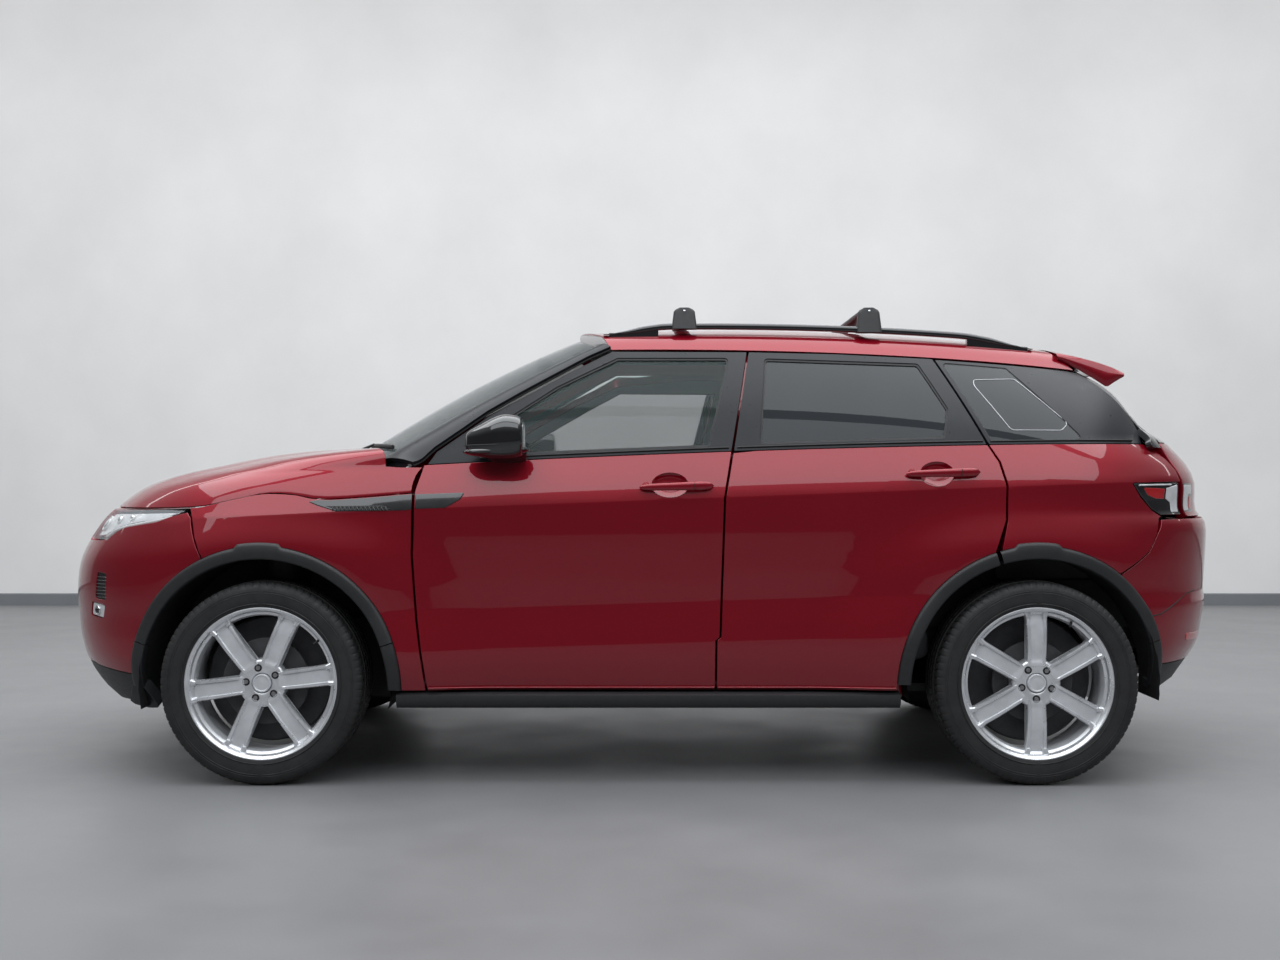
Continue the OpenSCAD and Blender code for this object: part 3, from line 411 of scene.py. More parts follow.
# Mesh building
class Build:
    """Points, faces, face materials and point normals of one piece, in millimetres."""

    def __init__(self):
        self.v, self.n, self.f, self.m = [], [], [], []
        self.count = 0

    def add(self, verts, faces, mat=0, normals=None):
        verts = np.asarray(verts, float).reshape(-1, 3)
        self.v.append(verts)
        self.n.append(np.zeros_like(verts) if normals is None else np.asarray(normals, float))
        base = self.count
        self.f += [tuple(int(i) + base for i in f) for f in faces]
        self.m += [mat] * len(faces)
        self.count += len(verts)
        return self

    def join(self, other):
        self.v += other.v
        self.n += other.n
        self.f += [tuple(i + self.count for i in f) for f in other.f]
        self.m += other.m
        self.count += other.count
        return self

    def moved(self, fn, turn_normals=None):
        """Copy with every point moved; the second function carries the normals."""
        b = Build()
        b.v, b.n = [fn(v) for v in self.v], [n if turn_normals is None else turn_normals(n) for n in self.n]
        b.f, b.m, b.count = list(self.f), list(self.m), self.count
        return b

    def shifted(self, *by):
        return self.moved(lambda v: v + np.array(by, float))

    def mirrored(self):
        across = np.array([1.0, -1.0, 1.0])
        b = self.moved(lambda v: v * across, lambda n: n * across)
        b.f = backward(b.f)
        return b


def backward(faces):
    return [tuple(reversed(f)) for f in faces]


def grid_faces(rows, cols, loop=False):
    out = []
    for i in range(rows - 1):
        for j in range(cols if loop else cols - 1):
            k = (j + 1) % cols
            out.append((i * cols + j, i * cols + k, (i + 1) * cols + k, (i + 1) * cols + j))
    return out


def lattice(loop, grid, creases):
    """Inner points for a panel: an even lattice, with three rows along each crease."""
    low, high = loop.min(0), loop.max(0)
    us, vs = (np.arange(low[i] + grid * 0.5, high[i], grid) for i in (0, 1))
    cloud = np.stack(np.meshgrid(us, vs), -1).reshape(-1, 2)
    rows = []
    for line in creases:
        us = np.arange(low[0], high[0], grid * 0.7)
        rows += [np.stack([us, line(us) + d], 1) for d in (-5.0, 0.0, 5.0)]
        cloud = cloud[np.abs(cloud[:, 1] - line(cloud[:, 0])) > grid * 0.4]
    return np.concatenate([cloud] + rows)


def triangulate(loops, cloud):
    """Points, triangles and the point numbers of each border loop."""
    points, edges, starts = [], [], []
    for loop in loops:
        first = len(points)
        starts.append(first)
        points += [tuple(q) for q in loop]
        edges += [(first + i, first + (i + 1) % len(loop)) for i in range(len(loop))]
    points += [tuple(q) for q in cloud]
    co, _, tris, origin, _, _ = delaunay_2d_cdt(points, edges, [], 0, 1e-4)
    co = np.array([tuple(c) for c in co])
    where = {old: new for new, olds in enumerate(origin) for old in olds}
    tris = np.array([t for t in tris if len(t) == 3])
    tris = tris[within(loops, co[tris].mean(axis=1))]
    u, v = co[tris[:, 1]] - co[tris[:, 0]], co[tris[:, 2]] - co[tris[:, 0]]
    clockwise = u[:, 0] * v[:, 1] - u[:, 1] * v[:, 0] < 0
    tris[clockwise] = tris[clockwise][:, ::-1]
    return co, tris, [[where[s + i] for i in range(len(p))] for s, p in zip(starts, loops)]


def panel(b, surf, outline, holes=(), edge=3.0, depth=14.0, grid=34.0, mat=0, rim=None, back=None, creases=(),
          step=14.0, radius=0.0):
    """Pressed panel on a surface: a smooth face, rolled edges and a return flange."""
    rim = mat if rim is None else rim
    loops = [resample(rounded(outline, radius), step)]
    loops += [resample(ccw(h), step)[::-1] for h in holes]
    flats = [offset(p, -edge) for p in loops]
    cloud = lattice(loops[0], grid, creases)
    cloud = cloud[within(flats, cloud)]
    for p in flats:
        cloud = cloud[distance(p, cloud) > grid * 0.3]
    co, tris, borders = triangulate(flats, cloud)
    pos, nor = with_normals(surf, co)
    b.add(pos, tris.tolist(), mat, nor)
    if back is not None:
        b.add(pos - nor * depth, tris[:, ::-1].tolist(), back, -nor)
    for p, idx in zip(flats, borders):
        base, up = pos[idx], nor[idx]
        m, _ = outward(p)
        out = surf(p + m * 0.6) - surf(p - m * 0.6)
        out -= up * np.sum(out * up, axis=1, keepdims=True)
        out /= np.maximum(np.linalg.norm(out, axis=1, keepdims=True), 1e-9)
        rings, norms = [base], [up]
        for angle in np.radians((30, 60, 90)):
            s, c = math.sin(angle), math.cos(angle)
            rings.append(base + out * edge * s - up * edge * (1 - c))
            norms.append(out * s + up * c)
        rings.append(base + out * edge - up * max(depth, edge))
        norms.append(out)
        n = len(p)
        flat = [(i * n + j, (i + 1) * n + j, (i + 1) * n + (j + 1) % n, i * n + (j + 1) % n)
                for i in range(len(rings) - 1) for j in range(n)]
        b.add(np.concatenate(rings), flat, rim, np.concatenate(norms))
        if back is not None:
            b.add(np.concatenate([base - up * depth, rings[-1]]), grid_faces(2, n, loop=True), rim,
                  np.concatenate([-up, -up]))
    return b


def sheet(b, grid, mat=0, flip=False):
    """Open surface through rows of points."""
    g = np.asarray(grid, float)
    faces = grid_faces(*g.shape[:2])
    return b.add(g, backward(faces) if flip else faces, mat)


def shell(b, grid, thick, mat=0, flip=False):
    """Surface with an even thickness behind it and closed edges."""
    g = np.asarray(grid, float)
    rows, cols = g.shape[:2]
    du, dv = np.gradient(g, axis=0), np.gradient(g, axis=1)
    n = np.cross(du, dv) if flip else np.cross(dv, du)
    n /= np.maximum(np.linalg.norm(n, axis=2, keepdims=True), 1e-9)
    top, low = g.reshape(-1, 3), (g - n * thick).reshape(-1, 3)
    sheet(b, g, mat, flip)
    sheet(b, g - n * thick, mat, not flip)
    edge = list(range(cols)) + [i * cols + cols - 1 for i in range(1, rows)]
    edge += [(rows - 1) * cols + i for i in range(cols - 2, -1, -1)]
    edge += [i * cols for i in range(rows - 2, 0, -1)]
    wall = grid_faces(2, len(edge), loop=True)
    return b.add(np.concatenate([top[edge], low[edge]]), wall if flip else backward(wall), mat)


def loft(b, rings, mat=0, caps=True):
    """Closed rings of equal length joined in order and facing outward, with fan caps."""
    g = np.asarray(rings, float)
    rows, cols = g.shape[:2]
    faces = grid_faces(rows, cols, loop=True)
    pts = g.reshape(-1, 3)
    few = pts[np.array(faces[:: max(1, len(faces) // 400)])] - pts.mean(0)
    volume = np.sum(np.cross(few[:, 0], few[:, 1]) * few[:, 2])
    b.add(pts, backward(faces) if volume < 0 else faces, mat)
    if caps:
        fan = [(j, (j + 1) % cols, cols) for j in range(cols)]
        for ring, first in ((g[0], True), (g[-1], False)):
            b.add(np.vstack([ring, ring.mean(0)]), backward(fan) if first == (volume > 0) else fan, mat)
    return b


def oval(axis, at, centre, radii, n, power=(1.0, 1.0)):
    """Ring square to one axis, boxed off where a power is under one."""
    flat = [m + r * soft(w, p) for m, r, w, p in zip(centre, radii, turn(n), power)]
    flat.insert(axis, np.full(n, float(at)))
    return np.stack(flat, 1)


def tube(b, path, radius, mat=0, n=10, squash=1.0):
    """Tube along a path of points; the radius may change along it."""
    path = np.asarray(path, float)
    t = np.gradient(path, axis=0)
    t /= np.maximum(np.linalg.norm(t, axis=1, keepdims=True), 1e-9)
    ref = np.array([0.0, 0.0, 1.0]) if abs(t[0][2]) < 0.9 else np.array([1.0, 0.0, 0.0])
    c, s = turn(n)
    rings = []
    for p, d, r in zip(path, t, np.broadcast_to(radius, (len(path),))):
        u = np.cross(d, ref)
        u /= max(np.linalg.norm(u), 1e-9)
        rings.append(p + r * (c[:, None] * u + squash * s[:, None] * np.cross(d, u)))
    return loft(b, rings, mat)


def surface_tube(b, surf, line, out, radius, mat=0, n=6, squash=1.0):
    """Tube that follows a line on a surface, moved outward."""
    pos, nor = with_normals(surf, line)
    return tube(b, pos + nor * out, radius, mat, n, squash)


def pill(b, centre, size, power=4.0, mat=0, n=20, shape=None):
    """Box with soft corners; shape may push its points."""
    u = np.linspace(-np.pi / 2, np.pi / 2, n)
    v = np.linspace(-np.pi, np.pi, 2 * n, endpoint=False)
    e = 2.0 / power
    cu, su, cv, sv = (soft(w, e) for w in (np.cos(u), np.sin(u), np.cos(v), np.sin(v)))
    unit = np.stack([np.outer(cu, cv), np.outer(cu, sv), np.outer(su, np.ones(2 * n))], -1)
    p = unit * (np.asarray(size, float) / 2)
    if shape is not None:
        p = shape(p.reshape(-1, 3), unit.reshape(-1, 3)).reshape(p.shape)
    return loft(b, p + np.asarray(centre, float), mat, caps=False)


def revolve(b, profile, n, mat=0, centre=(0, 0, 0), flip=False):
    """Profile of radius and place across the car, turned about an axis across the car."""
    c, s = turn(n)
    g = np.array([np.stack([r * c, np.full(n, float(y)), r * s], 1) for r, y in profile]) + np.array(centre)
    faces = grid_faces(len(profile), n, loop=True)
    return b.add(g, backward(faces) if flip else faces, mat)


def new_object(name, b, mats):
    """Mesh object in metres from a build."""
    mesh = bpy.data.meshes.new(name)
    mesh.from_pydata((np.concatenate(b.v) * MM).tolist(), [], b.f)
    for m in mats:
        mesh.materials.append(m)
    mesh.polygons.foreach_set("material_index", np.array(b.m, np.int32))
    obj = bpy.data.objects.new(name, mesh)
    bpy.context.scene.collection.objects.link(obj)
    return obj


def piece(name, b, body, mats, slot, nodes=(), angle=38.0):
    """One named object that rides on a body and stands for the nodes given."""
    obj = new_object(name, b, mats)
    mesh = obj.data
    mesh.polygons.foreach_set("use_smooth", np.ones(len(b.f), bool))
    mesh.set_sharp_from_angle(angle=math.radians(angle))
    mesh.update()
    normals = np.concatenate(b.n)
    if np.any(normals):
        mesh.normals_split_custom_set_from_vertices(normals.tolist())
    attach(obj, body)
    if nodes:
        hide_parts(*nodes)
    return obj


def both(name, b, body, mats, slot, nodes=(), angle=38.0):
    """A left piece and its mirror image; bodies and nodes named left get the right ones too."""
    piece(name + "_left", b, body, mats, slot, nodes, angle)
    other = [n.replace("left", "right") for n in nodes if "left" in n]
    piece(name + "_right", b.mirrored(), body.replace("left", "right"), mats, slot, other, angle)


# Materials
class Shader:
    """One procedural material: a principled shader with noise-made colour, roughness and bump."""

    def __init__(self, name, colour, rough, metal=0.0):
        self.mat = bpy.data.materials.new(name)
        self.mat.use_nodes = True
        self.nodes, self.links = self.mat.node_tree.nodes, self.mat.node_tree.links
        self.bsdf = next(n for n in self.nodes if n.type == "BSDF_PRINCIPLED")
        self.place = self.nodes.new("ShaderNodeTexCoord").outputs["Object"]
        self.set("Base Color", (*colour, 1.0)).set("Roughness", rough).set("Metallic", metal)

    def set(self, socket, value):
        self.bsdf.inputs[socket].default_value = value
        return self

    def node(self, kind, **values):
        """New node with its sockets set; underscores stand for spaces."""
        n = self.nodes.new(kind)
        for key, value in values.items():
            n.inputs[key.replace("_", " ")].default_value = value
        return n

    def noise(self, scale, detail=4.0):
        n = self.node("ShaderNodeTexNoise", Scale=scale, Detail=detail, Roughness=0.55)
        self.links.new(self.place, n.inputs["Vector"])
        return n.outputs["Fac"]

    def cells(self, scale):
        n = self.node("ShaderNodeTexVoronoi", Scale=scale)
        self.links.new(self.place, n.inputs["Vector"])
        return n.outputs["Distance"]

    def tint(self, fac, dark, light):
        """Colour that wanders between two shades."""
        n = self.nodes.new("ShaderNodeValToRGB")
        for stop, position, colour in zip(n.color_ramp.elements, (0.3, 0.7), (dark, light)):
            stop.position, stop.color = position, (*colour, 1.0)
        self.links.new(fac, n.inputs["Fac"])
        self.links.new(n.outputs["Color"], self.bsdf.inputs["Base Color"])
        return self

    def roughness(self, fac, low, high):
        n = self.node("ShaderNodeMapRange", From_Min=0.3, From_Max=0.7, To_Min=low, To_Max=high)
        self.links.new(fac, n.inputs["Value"])
        self.links.new(n.outputs["Result"], self.bsdf.inputs["Roughness"])
        return self

    def bump(self, fac, strength, distance, socket="Normal"):
        n = self.node("ShaderNodeBump", Strength=strength, Distance=distance)
        self.links.new(fac, n.inputs["Height"])
        self.links.new(n.outputs["Normal"], self.bsdf.inputs[socket])
        return self


def shade(colour, k):
    return tuple(c * k for c in colour)


def mixed(name, colour, rough, metal=0.0, scale=30.0, vary=0.12, rough_vary=0.06, grain=None, coat=0.0,
          spec=0.5):
    """Plain finish with a little wander in colour and gloss, and a fine grain."""
    s = Shader(name, colour, rough, metal)
    s.tint(s.noise(scale), shade(colour, 1 - vary), shade(colour, 1 + vary))
    s.roughness(s.noise(scale * 2.7), max(0.02, rough - rough_vary), rough + rough_vary)
    if grain:
        s.bump(s.noise(grain[0], 6.0), grain[1], grain[2])
    if coat:
        s.set("Coat Weight", coat).set("Coat Roughness", 0.04)
    return s.set("Specular IOR Level", spec).mat


def paint():
    """Deep red metallic under a clear coat, with flakes and a trace of orange peel."""
    red = (0.238, 0.0028, 0.0120)
    s = Shader("red_metallic_paint", red, 0.34, 0.42)
    s.tint(s.noise(900.0, 2.0), shade(red, 0.86), shade(red, 1.16))
    s.bump(s.cells(2600.0), 0.10, 0.0003)
    s.bump(s.noise(14.0, 2.0), 0.012, 0.002, "Coat Normal")
    s.roughness(s.noise(3.0), 0.31, 0.38)
    s.set("Coat Weight", 1.0).set("Coat Roughness", 0.025).set("Coat IOR", 1.55)
    return s.set("Specular IOR Level", 0.06).mat


def glass(name, colour, alpha):
    s = Shader(name, colour, 0.015)
    s.tint(s.noise(5.0), shade(colour, 0.94), shade(colour, 1.06))
    s.bump(s.noise(2.2, 1.0), 0.012, 0.004)
    return s.set("Alpha", alpha).set("IOR", 1.5).set("Specular IOR Level", 0.36).mat


def rubber():
    s = Shader("tyre_rubber", (0.0125, 0.0125, 0.013), 0.62)
    s.tint(s.noise(18.0), (0.009, 0.009, 0.0095), (0.018, 0.0178, 0.0175))
    s.roughness(s.noise(40.0), 0.52, 0.72)
    return s.bump(s.noise(420.0, 5.0), 0.25, 0.0006).mat


def scuffed(name, colour, rough, metal):
    """Alloy with dull and bright patches, as on a used wheel."""
    s = Shader(name, colour, rough, metal)
    s.tint(s.noise(26.0), shade(colour, 0.90), shade(colour, 1.05))
    s.roughness(s.noise(40.0), rough - 0.04, rough + 0.04)
    return s.bump(s.noise(300.0, 4.0), 0.012, 0.0002).mat


def leather():
    s = Shader("seat_leather", (0.035, 0.033, 0.032), 0.5)
    s.tint(s.noise(12.0), (0.026, 0.025, 0.024), (0.046, 0.044, 0.043))
    s.bump(s.cells(520.0), 0.07, 0.0004)
    return s.roughness(s.noise(30.0), 0.42, 0.58).mat


def cloth(name, colour):
    s = Shader(name, colour, 0.9)
    s.tint(s.noise(300.0, 3.0), shade(colour, 0.94), shade(colour, 1.05))
    return s.bump(s.noise(700.0, 4.0), 0.06, 0.0004).mat


PRISMS = dict(scale=25.0, grain=(240.0, 0.25, 0.001), coat=1.0)
RED = paint()
TRIM = mixed("black_trim", (0.018, 0.0185, 0.020), 0.50, scale=40.0, grain=(900.0, 0.14, 0.0005))
SATIN = mixed("satin_black", (0.016, 0.017, 0.020), 0.30, scale=9.0, rough_vary=0.03,
              grain=(700.0, 0.012, 0.0002), spec=0.26)
GLOSS = mixed("gloss_black", (0.008, 0.008, 0.009), 0.10, scale=9.0, rough_vary=0.03, coat=1.0)
SEAL = mixed("rubber_seal", (0.008, 0.008, 0.008), 0.6, scale=60.0, grain=(500.0, 0.2, 0.0005))
CLEAR = glass("clear_glass", (0.050, 0.068, 0.066), 0.28)
SCREEN = glass("screen_glass", (0.060, 0.078, 0.080), 0.55)
DARK = glass("dark_glass", (0.020, 0.023, 0.026), 0.93)
LENS = glass("lamp_lens", (0.80, 0.84, 0.87), 0.22)
LENS_RED = mixed("red_lens", (0.42, 0.006, 0.010), 0.12, **PRISMS)
LENS_WHITE = mixed("white_lens", (0.62, 0.63, 0.64), 0.14, **PRISMS)
CHROME = mixed("bright_metal", (0.74, 0.75, 0.77), 0.10, 1.0, scale=20.0, vary=0.05, rough_vary=0.04)
ALLOY = scuffed("alloy", (0.80, 0.81, 0.83), 0.30, 0.75)
ALLOY_DULL = scuffed("alloy_dull", (0.66, 0.67, 0.69), 0.38, 0.35)
RUBBER = rubber()
UNDER = mixed("under_coat", (0.020, 0.020, 0.021), 0.75, scale=12.0, grain=(160.0, 0.4, 0.001))
STEEL = mixed("steel", (0.34, 0.34, 0.35), 0.34, 0.9, scale=22.0, grain=(90.0, 0.1, 0.0006))
CAST = mixed("cast", (0.075, 0.075, 0.078), 0.6, 0.5, scale=30.0, grain=(200.0, 0.4, 0.001))
LEATHER = leather()
DASH = mixed("dash_plastic", (0.024, 0.024, 0.026), 0.55, scale=25.0, grain=(620.0, 0.14, 0.0005))
LINING = cloth("pale_lining", (0.42, 0.43, 0.42))
CARPET = cloth("carpet", (0.022, 0.022, 0.023))
PLATE = mixed("blank_plate", (0.62, 0.62, 0.60), 0.35, scale=15.0, vary=0.04, grain=(300.0, 0.05, 0.0004))
MESH = mixed("grille_mesh", (0.010, 0.010, 0.011), 0.35, scale=30.0, grain=(300.0, 0.1, 0.0006))

CAD_LOOK = {"under_coat": UNDER, "cast": CAST, "steel": STEEL, "red_paint": RED, "black_trim": TRIM,
            "gloss_black": GLOSS, "clear_glass": CLEAR, "dark_glass": DARK, "lamp_clear": LENS,
            "lamp_red": LENS_RED, "alloy": ALLOY, "tyre_rubber": RUBBER, "seat_leather": LEATHER,
            "dash_plastic": DASH}


def dress_cad():
    """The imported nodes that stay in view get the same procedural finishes."""
    slots = {s["node"]: s["material_slot"] for s in frame["record"]["subparts"]}
    for name, obj in frame["nodes"].items():
        look = CAD_LOOK[slots[name]]
        for slot in obj.material_slots:
            slot.material = look
        if not obj.material_slots:
            obj.data.materials.append(look)


# Outlines of the side, as length and height
FRONT_DOOR_LOW = np.array([[-752, 1100], [-780, 1010], [-785, 790], [-769, 571], [-750, 420], [-738, 323],
                           [252, 323], [252, 496], [266, 508], [281, 986]], float)
FRONT_DOOR_TOP = np.array([[378, 1510], [-108, 1512], [-271, 1425], [-535, 1274], [-713, 1146]], float)
FRONT_WINDOW = rounded([[-585, 1137], [-382, 1141], [235, 1166], [312, 1486], [-87, 1486], [-300, 1378],
                        [-585, 1186]], 16)
REAR_WINDOW = rounded([[407, 1173], [1050, 1194], [1074, 1295], [992, 1466], [440, 1484]], 16)
QUARTER_WINDOW = rounded([[1079, 1470], [1211, 1184], [1545, 1190], [1316, 1452]], 14)
ETCHED_LINE = rounded([[1183, 1407], [1337, 1412], [1498, 1248], [1469, 1223], [1287, 1223],
                       [1183, 1384]], 24)
REAR_EDGE = np.array([[1784, 1198], [1780, 1215], [1775, 1235], [1763, 1265], [1745, 1295], [1727, 1325],
                      [1703, 1355], [1660, 1395], [1626, 1420], [1595, 1440]], float)
BLADE = [[-777, 999], [-608, 1005], [-624, 981], [-674, 953], [-779, 949]]
FRAME_LIFT = 1.2

# Ways to press a panel
DOOR_SKIN = dict(edge=1.8, depth=30.0, creases=SIDE_CREASES)
DOOR_FRAME = dict(edge=2.0, depth=30.0, grid=30.0)
BODY_SKIN = dict(edge=1.6, depth=26.0, grid=30.0)
BUMPER_SKIN = dict(edge=1.8, depth=26.0, grid=30.0)
VALANCE = dict(edge=4.0, depth=40.0)
PANE = dict(edge=1.0, depth=4.5, grid=60.0, back=0)
LAMP_PART = dict(edge=2.5, depth=6.0, grid=10.0, step=6.0, radius=5.0)


# Doors
def finger_cup(b, x, z, rx, rz):
    """Dished recess behind a handle."""
    c, s = turn(36)
    rings = []
    for r, d in ((1.0, 0.8), (0.93, -2.0), (0.8, -9.0), (0.55, -15.0), (0.2, -17.0)):
        xs, zs = x + rx * r * c, z + rz * r * s
        rings.append(np.stack([xs, -side(xs, zs) - d - 0.4, zs], 1))
    b.add(rings, backward(grid_faces(len(rings), len(c), loop=True)))


def handle_bar(b, x, z):
    """Pull handle, thicker at its rear end, on two feet, with the seam of its lock."""
    rings = []
    for t in np.linspace(-1, 1, 25):
        px, pz = x + 129 * t, z + 3.5 * t
        end = np.sqrt(max(0.0, 1 - abs(t) ** 7)) + 0.02
        centre = on_side(px, pz, 20 - 7 * t * t)[1:]
        rings.append(oval(0, px, centre, (-10.0 * end, (13.5 + 2.5 * t) * end), 20, (0.8, 0.7)))
    loft(b, rings)
    for d in (-104, 104):
        tube(b, [on_side(x + d, z, out) for out in (-3, 8, 16)], [15, 12, 9], 0, 14)
    seam = np.array(on_side(x + 62, z, 30))
    tube(b, [seam + by for by in ((0, 1.5, -12), (0, -0.6, 0), (0, 1.5, 14))], 1.0, 1, 6)


def seal_ring(b, outline, width, drop):
    """Thin rubber frame just inside a window opening."""
    out = resample(ccw(outline), 14.0)
    rings = []
    for line, depth in ((out, drop), (offset(out, -width), drop + 1.0)):
        pos, nor = with_normals(side_surf, line)
        rings.append(pos - nor * depth)
    n = len(out)
    b.add(rings, [((j + 1) % n, n + (j + 1) % n, n + j, j) for j in range(n)], 1)


def belt_strip(b, x0, x1, lift, n, radius):
    """Rubber strip along the foot of the windows."""
    tube(b, [on_side(x, z, 1.0) for x, z in belt_run(x0, x1, lift, n)], radius, 1, 8, 0.7)


def door_trim(outline):
    """Inside face of a door: a dark card with an armrest, a pocket and a pull."""
    card = ccw(outline)

    def inward(p):
        x, z = -p[:, 0], p[:, 1]
        y = lerp(796.0, side(x, z) - 40, smooth((z - z_belt(x) + 70) / 60))
        mid = smooth((z - 480) / 60) * smooth((900 - z) / 80)
        return np.stack([x, -(y - 6 * mid), z], 1)
    b = Build()
    panel(b, inward, card * FLIP, edge=6.0, depth=40.0, grid=60.0, step=30.0, radius=20.0)
    x0, x1 = card[:, 0].min(), card[:, 0].max()
    middle, length = lerp(x0, x1, 0.56), x1 - x0
    pill(b, (middle, -752, 790), (length * 0.52, 78, 60), 5.0, 0, 16)
    pill(b, (middle - 20, -766, 470), (length * 0.5, 46, 120), 5.0, 0, 16)
    pill(b, (lerp(x0, x1, 0.3), -778, 905), (110, 30, 26), 3.0, 1, 14)
    return b


def door(end, skin, frame_outline, window, cup, handle, strip, pane_mat, pane_slot, card):
    """The pieces that both doors of a side have; right ones are mirrored."""
    body = "door_%s_left" % end
    name = end + "_door_"
    red = Build()
    x, z, rx, rz = cup
    panel(red, side_surf, skin, [ellipse(*cup)], **DOOR_SKIN)
    finger_cup(red, x, z, rx + 2, rz + 2)
    handle_bar(red, *handle)
    both(name + "skin", red, body, [RED, SEAL], "red_paint", [body])
    black = Build()
    panel(black, side_surf, frame_outline, [window], **DOOR_FRAME)
    seal_ring(black, window, 6.0, 3.0)
    belt_strip(black, *strip, 14, 24, 5.0)
    both(name + "frame", black, body, [SATIN, SEAL], "black_trim")
    pane = Build()
    panel(pane, lifted(side_surf, -7.0), offset(window, 8.0), **PANE)
    both(name + "pane", pane, body, [pane_mat], pane_slot, ["glass_%s_left" % end])
    both(name + "card", door_trim(card), body, [DASH, CHROME], "dash_plastic")


def doors():
    door("front", np.concatenate([FRONT_DOOR_LOW, belt_run(309, -742)]),
         np.concatenate([belt_run(-742, 309, FRAME_LIFT), FRONT_DOOR_TOP]), FRONT_WINDOW,
         cup=(96, 1031, 62, 41), handle=(118, 1026), strip=(-560, 300),
         pane_mat=CLEAR, pane_slot="clear_glass",
         card=[[-712, 380], [225, 380], [240, 520], [262, 1120], [-700, 1090]])
    blade = Build()
    panel(blade, lifted(side_surf, 3.0), BLADE, edge=2.5, depth=5.0, grid=25.0, step=8.0, radius=6.0)
    both("door_blade", blade, "door_front_left", [GLOSS], "gloss_black")
    skin = np.concatenate([[[259, 323], [878, 323]], arch_run(REAR_AXLE, PANEL_ARCH, 182.6, 108.0),
                           [[1247, 910], [1250, 1027], [1229, 1110]], belt_run(1194, 316)[:-1],
                           [[316, 1141], [288, 986], [273, 508], [259, 496]]])
    card = np.concatenate([[[335, 380], [850, 380]], arch_run(REAR_AXLE, ARCH_R + 60, 176, 116, 8),
                           [[1190, 1130], [340, 1110]]])
    top = np.concatenate([belt_run(317, 1193, FRAME_LIFT), [[1049, 1486], [700, 1503], [385, 1510]]])
    door("rear", skin, top, REAR_WINDOW, cup=(1014, 1069, 58, 41), handle=(1032, 1072), strip=(330, 1180),
         pane_mat=DARK, pane_slot="dark_glass", card=card)
    arch = Build()
    moulding(arch, REAR_AXLE, 180.0, 108.0)
    both("rear_door_arch", arch, "door_rear_left", [TRIM], "black_trim")
    for end, x0, x1 in (("front", -735, 250), ("rear", 262, 872)):
        bead = Build()
        tube(bead, [on_side(x, 332, 1.5) for x in np.linspace(x0, x1, 24)], 7.0, 0, 10, 0.5)
        both(end + "_door_sill", bead, "door_%s_left" % end, [RED], "red_paint")


# Mouldings and wheel houses
def moulding(b, axle, a0, a1):
    """Arch moulding: a flat band with rolled edges and a raised step on top."""
    rows = []
    for a in np.radians(np.linspace(a0, a1, max(6, int(abs(a1 - a0) / 1.5)))):
        outer = ARCH_R + MOULDING + 12.0 * smooth((0.170 - abs(a - math.radians(90.5))) / 0.018)
        profile = ((ARCH_R - 1, -26.0), (ARCH_R, 6.0), (ARCH_R + 4, 10.5), (ARCH_R + 8, 12.0),
                   (outer - 12, 12.0), (outer - 5, 10.0), (outer - 1, 5.0), (outer, -3.0))
        rows.append([on_side(axle + r * math.cos(a), ARCH_Z + r * math.sin(a), d) for r, d in profile])
    shell(b, rows, 3.0, flip=(a1 < a0))


def arch_mouldings():
    b = Build()
    for axle, a0, a1 in ((FRONT_AXLE, 18.2, 162.0), (FRONT_AXLE, -2.5, 17.8), (FRONT_AXLE, 162.4, 183.0),
                         (REAR_AXLE, 106.2, 18.3), (REAR_AXLE, 17.9, -2.5)):
        moulding(b, axle, a0, a1)
    front_leg = [[-1786, 332], [-1738, 332], [-1714, 296], [-1694, 262], [-1702, 250], [-1740, 247],
                 [-1800, 255], [-1818, 268], [-1800, 300]]
    rear_leg = [[1788, 340], [1834, 340], [1832, 312], [1820, 298], [1794, 300]]
    for leg in (front_leg, rear_leg):
        panel(b, lifted(side_surf, 9.0), leg, depth=40.0, grid=20.0, step=10.0, radius=6.0)
    both("arch_moulding", b, "body", [TRIM], "black_trim", ["arch_mouldings"])


def sills():
    profile = ((-772, 262), (-850, 257), (-884, 262), (-898, 276), (-903, 294), (-901, 308), (-890, 315),
               (-772, 317))
    b = Build()
    loft(b, [[[x, y, z] for y, z in profile] for x in np.linspace(-846, 890, 50)])
    both("sill", b, "body", [TRIM], "black_trim", ["lower_trim"])


BAY_Y, HOUSE_Y = 470.0, 648.0


def arch_liners():
    b = Build()
    for axle, inner, a0, a1 in ((FRONT_AXLE, BAY_Y + 5, -12, 192), (REAR_AXLE, HOUSE_Y, -8, 188)):
        angles = np.radians(np.linspace(a0, a1, 70))
        r = ARCH_R + 5 + 1.5 * np.sin(angles * 40)
        rows = np.array([np.stack([axle + r * np.cos(angles), np.full_like(angles, -y),
                                   ARCH_Z + r * np.sin(angles)], 1) for y in np.linspace(inner, 866, 10)])
        sheet(b, rows)
        sheet(b, rows + np.array([0, 0, 1.5]), flip=True)
    both("arch_liner", b, "body", [UNDER], "black_trim", ["arch_liners"], angle=60)
    w = Build()
    bay = [[-1780, 300], [-1300, 262], [-872, 232], [-872, 900], [-1780, 900]]
    for y, outline in ((BAY_Y, bay), (HOUSE_Y, arch_run(REAR_AXLE, ARCH_R + 5, 23.0, 157.0, 30))):
        def wall(p):
            return np.stack([p[:, 0], np.full(len(p), -y), p[:, 1]], 1)
        panel(w, wall, outline, depth=5.0, grid=90.0, back=0, step=60.0)
    both("wheel_house", w, "body", [UNDER], "under_coat")


